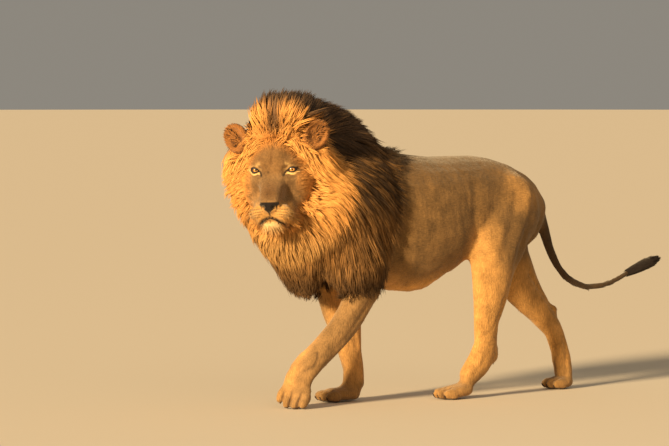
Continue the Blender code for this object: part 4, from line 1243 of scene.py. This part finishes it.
def mane_colours(points, share, lock_tone, hair_tone):
    """The long hair's colour by place, by share of the way to its tip, by lock and by strand.

    Gold in the ruff with paler tips, near-black in the crest and over the forehead's middle, gold
    streaks on dark brown at the sides, gold over the chest, and dark again at its foot.
    """
    p, q = to_head(points), points - BODY_ZERO
    ruff = ruff_share(points)
    crown_dark = np.exp(-((p[:, 0] - 0.004) / 0.026) ** 2) * soft_step(p[:, 2], 0.13, 0.19)
    gold = lay_on(np.tile(RUFF, (len(p), 1)), RUFF_TIP, share * 0.8 + hair_tone * 0.3)
    gold = lay_on(gold, RUFF_LOW, soft_step(-p[:, 2], 0.20, 0.34))
    gold = lay_on(gold, CREST, crown_dark * 0.85)
    height = q[:, 2]
    streak = soft_step(lock_tone * 0.7 + hair_tone * 0.3, 0.45, 0.80) * (0.25 + 0.60 * share)
    side = lay_on(np.tile(MANE_DARK, (len(p), 1)), MANE_GOLD, streak * soft_step(-height, -1.26, -1.06))
    side = lay_on(side, CREST, soft_step(height, 1.12, 1.25) * 0.9)
    side = lay_on(side, CREST_BROWN, soft_step(height, 1.16, 1.24) * soft_step(hair_tone, 0.72, 0.95))
    front = soft_step(-q[:, 1], -0.32, -0.15)
    chest = ((0.45 + 0.5 * hair_tone) * soft_step(-height, -0.98, -0.80)
             * (1 - soft_step(share, 0.45, 0.9) * 0.6))
    foot = soft_step(-height, -0.72, -0.54) * soft_step(share + 0.6 * hair_tone, 0.25, 0.95) * 0.8
    side = lay_on(side, MANE_GOLD * (1.25 + 0.6 * front)[:, None], chest)
    side = lay_on(side, MANE_DARK * 0.8, foot)
    return side + (gold - side) * ruff[:, None]


def nearest_places(points, cloud):
    """The row in a cloud of the place nearest to each point: the least of |c|^2 - 2 p.c."""
    size = (cloud ** 2).sum(1)
    return np.concatenate([np.argmin(size - 2 * part @ cloud.T, axis=1)
                           for part in np.array_split(points, 60)])


def pressed_over_ear(points, share):
    """Places drawn towards the head's middle over the right ear, by up to 5 cm."""
    way = unit(points - from_head((0, -0.12, 0)))
    return points - way * (0.05 * over_right_ear(points) * share)[:, None]


# fused with the flesh, the mane gives the surface that the locks lie on, and alone it gives the bed;
# both have a ball behind each ear, so that no hollow is left there
ear_bases = [(to_head(middle) - (0, 0.045, 0.012), (0.072, 0.056, 0.066)) for middle in EAR_MIDDLES]
whole_mesh = fused(FLESH + MANE, MANE_GRAIN, ear_bases)
whole_edges = read_edges(whole_mesh)
whole = evened(whole_mesh, 12)
write_points(whole_mesh, whole)
whole_normals = read_normals(whole_mesh)
bed_mesh = fused(MANE, MANE_GRAIN, ear_bases)
bed_edges = read_edges(bed_mesh)
bed = evened(bed_mesh, 6)
in_mane = near_cloud(whole, bed, MANE_GRAIN).astype(float)
mane_share = smoothed(in_mane[:, None], whole_edges, [0.8] * 5)[:, 0] ** 2
surface = pressed_over_ear(whole - whole_normals * (mane_depth(whole) * mane_share)[:, None], mane_share)
outer = near_cloud(bed, whole, 0.018).astype(float)
outer = smoothed(outer[:, None], bed_edges, [0.8] * 5)[:, 0] ** 2
beside = nearest_places(bed, whole)
outside = ((bed - whole[beside]) * whole_normals[beside]).sum(1)
too_high = np.maximum(0, outside + (mane_depth(bed) + 0.004) * mane_share[beside])
bed = smoothed(bed - whole_normals[beside] * too_high[:, None], bed_edges, [0.5] * 3)
bed = pressed_over_ear(bed, 1.0)
write_points(bed_mesh, bed)
bed_mesh.shade_smooth()
# painted shade: the bed takes the mane's colours darkened to 55 to 70 percent, as the shade deep under the
# locks
bed_painted_shade = 0.55 + 0.15 * ruff_share(bed)
same = np.ones(len(bed))
lay_colours(bed_mesh, bed_painted_shade[:, None] * mane_colours(bed, 0.1 * same, 0.3 * same, 0.2 * same))
unwrap(bed_mesh)
mane_finish = hair_material("mane_hair", fineness=320, depth=0.0012, contrast=0.16,
                            roughness=0.66, sheen=0.06)
bed_mesh.materials.append(mane_finish)
mane_bed = new_piece("mane_bed", bed_mesh)
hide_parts(*MANE)

unwrap(skin_mesh)
unwrap(ears_mesh)
table = neighbour_table(whole_edges, len(whole))
on_mane = np.flatnonzero((in_mane > 0) & (mane_share > 0.12))
first = chance.choice(on_mane, GUIDES, replace=False)
normals = unit(smoothed(whole_normals, whole_edges, [0.6] * 4))
lengths = mane_length(surface[first]) * chance.uniform(0.75, 1.2, GUIDES)
waver = chance.normal(0, 0.16, (GUIDES, 3))
tip_lift = chance.uniform(0.008, 0.030, GUIDES) + 0.022 * soft_step(surface[first, 2], 1.16, 1.26)


def lock_lift(share):
    """Height of a lock over the bed: up from the root to its middle, the tips at odd heights."""
    return 0.015 * min(1, share * 2.5) + (tip_lift - 0.012) * share ** 2


roots = surface[first] - normals[first] * ROOT_DEPTH
guides, nearest, gaps = walk(roots, first, surface, normals, table, lengths, mane_flow, lock_lift, waver)
guide_height = guides[..., 2] - BODY_ZERO[2]
stopped = (mane_share[nearest] < 0.10) | (gaps > FURTHEST_OFF)
stopped |= (ear_gap(guides) < 1) | (guide_height < LOWEST)
stopped[:, 0] = False
clear = (ear_gap(guides[:, :2]) > 1.12).all(1)
steps_free = np.where(stopped.any(1), stopped.argmax(1) - 1, LOCK_STEPS - 1)
free_share = steps_free / (LOCK_STEPS - 1)
lengths = np.clip(lengths * free_share + chance.uniform(0.005, 0.030, GUIDES), 0.025, lengths)
guides, nearest, gaps = walk(roots, first, surface, normals, table, lengths, mane_flow, lock_lift, waver)
runs = unit(np.diff(guides, axis=1))
straight = ((runs[:, 1:] * runs[:, :-1]).sum(2) > 0.35).all(1) & clear
straight &= (over_right_ear(guides.reshape(-1, 3)).reshape(guides.shape[:2]) < 0.35).all(1)
guides = combed(guides, 2)
guides, lengths, guide_normals = guides[straight], lengths[straight], normals[first[straight]]
strands = (len(guides), HAIRS)
spread = chance.normal(0, 1, (*strands, 3)) * LOCK_SPREAD
spread -= guide_normals[:, None] * (spread * guide_normals[:, None]).sum(2)[..., None]
t = np.linspace(0, 1, LOCK_STEPS)
scale = chance.uniform(0.72, 1.08, strands)
shape = guides - guides[:, :1]
paths = (guides[:, None, :1] + shape[:, None] * scale[..., None, None]
         + spread[:, :, None] * (1 - 0.62 * t ** 1.2)[None, None, :, None])
stray = guide_normals[:, None] * chance.normal(0, 0.0035, strands)[..., None]
paths += stray[:, :, None] * t[None, None, :, None]
paths = paths.reshape(-1, LOCK_STEPS, 3)
out = np.repeat(guide_normals, HAIRS, 0)
lock_tone = np.repeat(chance.uniform(0, 1, len(guides)), HAIRS)
hair_tone = chance.uniform(0, 1, len(paths))
shares = np.repeat(t[None], len(paths), 0).ravel()
seen = np.repeat(paths[:, :1], LOCK_STEPS, 1)
seen[..., 2] = 0.4 * seen[..., 2] + 0.6 * paths[..., 2]
tints = mane_colours(seen.reshape(-1, 3), shares, np.repeat(lock_tone, LOCK_STEPS),
                     np.repeat(hair_tone, LOCK_STEPS)).reshape(len(paths), LOCK_STEPS, 3)
root_shade = (0.78 + 0.22 * np.minimum(1, t * 2.5))[None, :, None]
tints = tints * (0.88 + 0.24 * hair_tone)[:, None, None] * root_shade
widths = STRAND_WIDTH * chance.uniform(0.7, 1.35, len(paths)) * (0.45 + np.repeat(lengths, HAIRS) / 0.30)
widths = np.clip(widths, 0.0020, 0.0085)
roots_uv = chart_places(paths[:, 0], chart_cells(paths[:, 0], out))
root_q, root_ruff = paths[:, 0] - BODY_ZERO, ruff_share(paths[:, 0])
ruffed, left, high = root_ruff > 0.5, root_q[:, 0] >= 0, root_q[:, 2] >= 1.10
low = root_q[:, 2] < 0.76
root_u = to_head(paths[:, 0])[:, 2]
groups = {"ruff_upper": ruffed & (root_u >= 0.02),
          "ruff_middle": ruffed & (root_u < 0.02) & (root_u >= -0.20),
          "ruff_lower": ruffed & (root_u < -0.20)}
for band, rows in (("crest", high), ("side", ~high & ~low), ("apron", low)):
    groups[band + "_left"], groups[band + "_right"] = ~ruffed & rows & left, ~ruffed & rows & ~left
for name, chosen in groups.items():
    mesh = lock_mesh(name, paths[chosen], out[chosen], widths[chosen], widths[chosen] * 0.38, tints[chosen],
                     roots_uv[chosen])
    mesh.materials.append(mane_finish)
    new_piece(name, mesh)


# ---- Short coat ----
# Short hair lying close over the body, in small tufts where it breaks the outline or the light:
# down the backs of the legs, under the belly, along the back and tail, on cheeks, chin and ears.
TAIL_LINE = [(0.000, 1.330, 0.935), (0.000, 1.396, 0.880), (0.000, 1.440, 0.790), (0.003, 1.489, 0.655),
             (0.007, 1.566, 0.542), (0.010, 1.690, 0.484), (0.012, 1.828, 0.497), (0.012, 1.962, 0.552),
             (0.012, 2.120, 0.600)]
COAT_TUFTS, HAIRLINE_TUFTS = 27000, 7000


def on_tail(q):
    """1 on the tail: close to the middle plane, above 0.42 m and behind the slope of the rump."""
    return (soft_step(0.085 - np.abs(q[:, 0]), 0, 0.01) * soft_step(q[:, 2], 0.42, 0.44)
            * soft_step(q[:, 1] + 0.42 * (q[:, 2] - 0.6), 1.44, 1.47))


def coat_flow(points):
    """The lie of the short hair: away from the nose, back along the trunk, down the legs and out
    along the tail.
    """
    q, p = points - BODY_ZERO, to_head(points)
    legs = soft_step(-q[:, 2], -0.78, -0.58)[:, None]
    way = np.array((0, 1.0, -0.30)) * (1 - legs) + np.array((0, 0.15, -1.0)) * legs
    line = np.array(TAIL_LINE)
    place = np.minimum(along(q, line)[1].astype(int), len(line) - 2)
    way = way + (unit(line[place + 1] - line[place]) - way) * on_tail(q)[:, None]
    from_nose = (p - (0, 0.13, -0.135)) * (1, 1, 0.9) + (0, -0.03, 0)
    head = face_share(points)[:, None]
    return unit(way + (unit(from_nose) @ HEAD_AXES - way) * head)


def coat_need(points, normals):
    """How thickly tufts are set: thin on the flat of the body, thick where hair shows in outline.

    None grow round the eyes, on the nose and lips, under the mane or under the feet.
    """
    q, p = points - BODY_ZERO, to_head(points)
    legs = soft_step(-q[:, 2], -0.62, -0.50)
    need = 0.30 + 0.5 * legs * soft_step(normals[:, 1], 0.0, 0.5)
    need += 0.6 * soft_step(-normals[:, 2], 0.2, 0.7) * soft_step(q[:, 2], 0.35, 0.45)
    need += 0.3 * soft_step(normals[:, 2], 0.6, 0.9) * soft_step(q[:, 2], 0.8, 0.9) + 0.8 * on_tail(q)
    need += 0.8 * legs * soft_step(-q[:, 2], -0.10, -0.04)
    cheek = soft_step(np.abs(p[:, 0]) - 0.2 * p[:, 2], 0.085, 0.115)
    chin = soft_step(-p[:, 2], 0.225, 0.245)
    top = soft_step(p[:, 2], 0.105, 0.135)
    face = 0.9 + 3.0 * np.maximum(np.maximum(cheek, chin), top)
    bare = np.linalg.norm(np.abs(p) - (EYE_OUT, 0, 0), axis=1) < 0.034
    bare |= (p[:, 1] > 0.095) & (p[:, 2] > -0.205) & (p[:, 2] < -0.128) & (np.abs(p[:, 0]) < 0.052)
    lips, corner = mouth_line(p * (np.sign(p[:, :1]) * (1, 0, 0) + (0, 1, 1)))
    bare |= (lips > -0.006) & (lips < 0.012) & (corner > 0.2) & (p[:, 1] > 0)
    need = need + (face - need) * face_share(points)
    hidden = near_cloud(points, bed[outer > 0.6], 0.022)
    return need * ~bare * ~hidden * (q[:, 2] > 0.022)


def coat_length(points):
    """Length of the short hair: longest on the tail's end, under the chin and beside the ruff."""
    q, p = points - BODY_ZERO, to_head(points)
    length = 0.019 + 0.008 * soft_step(-q[:, 2], -0.62, -0.50) * soft_step(q[:, 2], 0.30, 0.40)
    length = length - 0.007 * soft_step(-q[:, 2], -0.14, -0.05)
    face = 0.010 + 0.026 * soft_step(np.abs(p[:, 0]) - 0.2 * p[:, 2], 0.090, 0.135)
    face = np.maximum(face, 0.010 + 0.018 * soft_step(-p[:, 2], 0.244, 0.272))
    face = np.maximum(face, 0.010 + 0.022 * soft_step(p[:, 2], 0.110, 0.150))
    return length + (face - length) * face_share(points)


def tufts(name, places, ways, normals, lengths, widths, rises, tints, material, steps=3):
    """Short locks that start 1.5 mm under the surface and lie along it, lifted by rise * t^1.3."""
    ways = unit(ways - normals * (ways * normals).sum(1)[:, None])
    t = np.linspace(0, 1, steps)
    lift = -0.0015 + rises[:, None] * t ** 1.3
    along_way = ways[:, None] * (lengths[:, None] * t)[..., None]
    paths = (places[:, None] + along_way + normals[:, None] * lift[..., None])
    fade = (0.86 + 0.24 * t)[None, :, None]
    mesh = lock_mesh(name, paths, normals, widths, widths * 0.28, tints[:, None] * fade,
                     chart_places(places, chart_cells(places, normals)), 0.25)
    mesh.materials.append(material)
    return new_piece(name, mesh)


def scattered(mesh, need, count):
    """Places strewn over a mesh's faces as thickly as a need says: their points and normals."""
    points, normals = read_points(mesh), read_normals(mesh)
    mesh.calc_loop_triangles()
    corners = np.empty(len(mesh.loop_triangles) * 3, np.int32)
    mesh.loop_triangles.foreach_get("vertices", corners)
    corners = corners.reshape(-1, 3)
    a, b, c = points[corners[:, 0]], points[corners[:, 1]], points[corners[:, 2]]
    area = np.linalg.norm(np.cross(b - a, c - a), axis=1)
    weight = area * need((a + b + c) / 3, unit(normals[corners].mean(1)))
    chosen = chance.choice(len(corners), count, p=weight / weight.sum())
    u, v = chance.uniform(0, 1, (2, count, 1))
    flip = u + v > 1
    u, v = np.where(flip, 1 - u, u), np.where(flip, 1 - v, v)
    places = a[chosen] * (1 - u - v) + b[chosen] * u + c[chosen] * v
    first, second, third = normals[corners[chosen].T]
    return places, unit(first * (1 - u - v) + second * u + third * v)


def hairline_need(points, normals):
    """Thick in a band round the face, where the short hair of the face turns into the ruff."""
    p = to_head(points)
    wide = face_oval(p)
    front = (p[:, 1] > -0.17) & (p[:, 2] > -0.30)
    return soft_step(wide, 0.66, 0.86) * soft_step(-wide, -1.20, -1.05) * front


coat_finish = hair_material("short_hair", fineness=260, depth=0.0010, contrast=0.40,
                            roughness=0.74, sheen=0.20)
places, normals = scattered(skin_mesh, coat_need, COAT_TUFTS)
ways = coat_flow(places) + chance.normal(0, 0.13, places.shape)
lengths = coat_length(places) * chance.uniform(0.7, 1.3, len(places))
widths = np.clip(lengths * 0.12, 0.0012, 0.0034) * chance.uniform(0.75, 1.25, len(places))
standing = 0.0009 + 0.14 * np.maximum(0, lengths - 0.022) * face_share(places)
tints = skin_colours(places) * chance.uniform(0.82, 1.16, len(places))[:, None]
part = chart_cells(places, normals) // 6
coat_groups = {"coat_trunk": part == 0, "coat_face": part == 1, "coat_forelegs": (part == 2) | (part == 3),
               "coat_hindlegs": (part == 4) | (part == 5), "coat_tail": part == 6}
for name, chosen in coat_groups.items():
    tufts(name, places[chosen], ways[chosen], normals[chosen], lengths[chosen], widths[chosen],
          standing[chosen], tints[chosen], coat_finish)

places, normals = scattered(skin_mesh, hairline_need, HAIRLINE_TUFTS)
outward = soft_step(face_oval(to_head(places)), 0.70, 1.0)
ways = mane_flow(places) * 0.6 + coat_flow(places) * 0.6 + chance.normal(0, 0.12, places.shape)
lengths = (0.022 + 0.034 * outward) * chance.uniform(0.7, 1.2, len(places))
widths, standing = 0.0030 + 0.0008 * outward, 0.003 + 0.007 * outward
tints = skin_colours(places)
tints = tints + (RUFF * 0.95 - tints) * (outward * 0.85)[:, None]
tints *= chance.uniform(0.85, 1.12, (len(places), 1))
chosen = np.min([np.linalg.norm(places - middle, axis=1) for middle in EAR_MIDDLES], axis=0) >= 0.038
tufts("hairline", places[chosen], ways[chosen], normals[chosen], lengths[chosen], widths[chosen],
      standing[chosen], tints[chosen], coat_finish, 4)


# ---- Tail tuft ----
# The brush at the end of the tail: coarse near-black hair that hides the tail's tip.
BRUSH_LOCKS = 2600
t = chance.uniform(0, 1, BRUSH_LOCKS) ** 0.8
turn = chance.uniform(0, tau, BRUSH_LOCKS)
start, end = np.array((0.012, 1.925, 0.537)), np.array((0.012, 2.085, 0.592))
brush_way = unit(end - start)
side_way = np.array((1.0, 0, 0))
up_way = np.cross(side_way, brush_way)
radial = np.cos(turn)[:, None] * side_way + np.sin(turn)[:, None] * up_way
girth = np.interp(t, (0, 0.3, 0.7, 1), (0.017, 0.023, 0.024, 0.008))
places = BODY_ZERO + start + (end - start) * t[:, None] + radial * girth[:, None]
flare = np.interp(t, (0, 0.5, 1), (0.10, 0.02, -0.10))[:, None]
ways = brush_way + radial * flare + chance.normal(0, 0.07, places.shape)
lengths = np.interp(t, (0, 1), (0.070, 0.050)) * chance.uniform(0.7, 1.1, BRUSH_LOCKS)
tints = TUFT_BLACK * chance.uniform(0.6, 1.7, (BRUSH_LOCKS, 1))
tufts("tail_brush", places, ways, unit(radial), lengths, np.full(BRUSH_LOCKS, 0.0042),
      np.full(BRUSH_LOCKS, 0.003), tints, coat_finish, 4)


# ---- Ear hair ----
# Short fur on the rims and backs of the ears, mane hair round their bases, and the long loose hair
# that grows across the cup from its inner edge.
EAR_TUFTS, EAR_BASE_TUFTS, CUP_HAIRS = 3600, 3200, 420


def ear_need(points, normals):
    """Thicker on the rims, which face sideways, than on the fronts and backs."""
    return 1.0 + 1.5 * soft_step(-np.abs(normals @ HEAD_AXES[1]), -0.6, -0.2)


places, normals = scattered(ears_mesh, ear_need, EAR_TUFTS)
ways = unit(places - (EYES_MIDDLE + (0, 0, 0.02))) + chance.normal(0, 0.2, places.shape)
lengths = chance.uniform(0.010, 0.020, len(places))
tints = ear_colours(places, normals) * chance.uniform(0.8, 1.2, (len(places), 1))
tufts("ear_fur", places, ways, normals, lengths, lengths * 0.17, lengths * 0.25, tints, coat_finish)


def beside_ears(points, normals):
    """Where the bed would show: 0.6 to 1.75 of an ear's size from its middle, and at the crown's foot."""
    l, f, u = to_head(points).T
    crown_foot = soft_step(u, 0.09, 0.12) * soft_step(-u, -0.23, -0.19) * soft_step(f, -0.16, -0.10)
    gap = ear_gap(points)
    beside = soft_step(gap, 0.6, 0.9) * soft_step(-gap, -1.75, -1.35)
    return np.maximum(beside, 1.3 * crown_foot * (np.abs(l) < 0.11)) * (over_right_ear(points) < 0.3) + 1e-9


places, normals = scattered(bed_mesh, beside_ears, EAR_BASE_TUFTS)
ways = mane_flow(places) + chance.normal(0, 0.14, places.shape)
lengths = chance.uniform(0.028, 0.052, len(places))
lock_tone, hair_tone = chance.uniform(0, 1, (2, len(places)))
tints = mane_colours(places, np.full(len(places), 0.5), lock_tone, hair_tone) * 0.85
tufts("ear_base_fur", places, ways, normals, lengths, np.full(len(places), 0.0028), lengths * 0.14, tints,
      mane_finish, 4)

starts, ways, cup_tints = [], [], []
for side, middle in zip((1, -1), EAR_MIDDLES):
    turn = chance.uniform(-0.6, 2.6, CUP_HAIRS)
    reach = chance.uniform(0.6, 1.0, CUP_HAIRS)
    across, up = -side * np.cos(turn - 0.5) * 0.044 * reach, np.sin(turn - 1.9) * 0.050 * reach
    starts.append(middle + np.stack((across, np.full(CUP_HAIRS, 0.0), up), 1) @ HEAD_AXES)
    outwards, upwards = side * chance.uniform(0.2, 1.0, CUP_HAIRS), chance.uniform(-0.1, 0.9, CUP_HAIRS)
    ways.append(np.stack((outwards, np.full(CUP_HAIRS, 0.35), upwards), 1) @ HEAD_AXES)
    dark = chance.uniform(0, 1, (CUP_HAIRS, 1)) < 0.4
    # two in five hairs across the cup take the cup's painted shade, darker still
    cup_tints.append(np.where(dark, EAR_CUP_SHADE * 0.5, EAR_GOLD * 1.1))
starts, ways, cup_tints = np.concatenate(starts), np.concatenate(ways), np.concatenate(cup_tints)
facing = np.tile(HEAD_AXES[1], (len(starts), 1))
lengths = chance.uniform(0.025, 0.050, len(starts))
tufts("ear_cup_hair", starts, ways, facing, lengths, np.full(len(starts), 0.0030),
      np.full(len(starts), 0.010), cup_tints, coat_finish, 4)


# ---- Whiskers and claws ----
# White whiskers in rows from the pads of the upper lip, and short dark claws almost drawn in.
WHISKER, CLAW = paint(196, 170, 128), paint(62, 46, 36)
l, u = whisker_roots().T
on_pad = moved_onto(np.stack((l, 0.135 - 8.5 * (l - 0.03) ** 2, u), 1), face_with_folds, 4)
aim = np.stack((np.full(len(l), 0.8), 0.30 - 8 * (l - 0.03), 0.10 + 12 * (u + 0.170)), 1)
places, ways = [], []
for side in (1, -1):
    places.append(from_head(on_pad * (side, 1, 1)))
    ways.append(unit(aim * (side, 1, 1) + chance.normal(0, 0.07, aim.shape)) @ HEAD_AXES)
places, ways = np.concatenate(places), np.concatenate(ways)
lengths = np.tile(np.interp(l, (0.03, 0.085), (0.023, 0.042)), 2) * chance.uniform(0.8, 1.1, len(places))
t = np.linspace(0, 1, 6)
paths = places[:, None] + ways[:, None] * (lengths[:, None] * t)[..., None]
paths[..., 2] -= (lengths[:, None] * 0.30 * t ** 2)
up, thick = np.tile((0.0, 0, 1), (len(places), 1)), np.ones(len(places))
whisker_mesh = lock_mesh("whiskers", paths, up, 0.0006 * thick, 0.0005 * thick,
                         np.full((len(places), len(t), 3), 0.80),
                         chart_places(places, chart_cells(places, ways)))
whisker_mesh.materials.append(plain_finish("whisker", WHISKER, 0.5))
new_piece("whiskers", whisker_mesh)

places, claw_ways, claw_up = [], [], []
for heel, knuckle, width, drop, tilt in PAWS:
    beside, nail_way, up = paw_axes(heel, knuckle, drop, tilt)
    for middle in toe_middles(heel, knuckle, width, drop, tilt):
        places.append(BODY_ZERO + middle + nail_way * 0.021 + up * 0.013)
        claw_ways.append(nail_way * 0.9 - up * 0.35)
        claw_up.append(up)
places, ways, up = np.array(places), unit(np.array(claw_ways)), np.array(claw_up)
t = np.linspace(0, 1, 5)
paths = places[:, None] + ways[:, None] * (0.023 * t)[None, :, None]
paths = paths - up[:, None] * (0.006 * t ** 2)[None, :, None]
paths[..., 2] = np.maximum(paths[..., 2], 0.0095)
claw_mesh = lock_mesh("claws", paths, up, np.full(len(places), 0.0085), np.full(len(places), 0.0090),
                      np.tile(CLAW, (len(places), 5, 1)), chart_places(places, chart_cells(places, ways)))
claw_mesh.materials.append(plain_finish("horn", CLAW, 0.35))
new_piece("claws", claw_mesh)
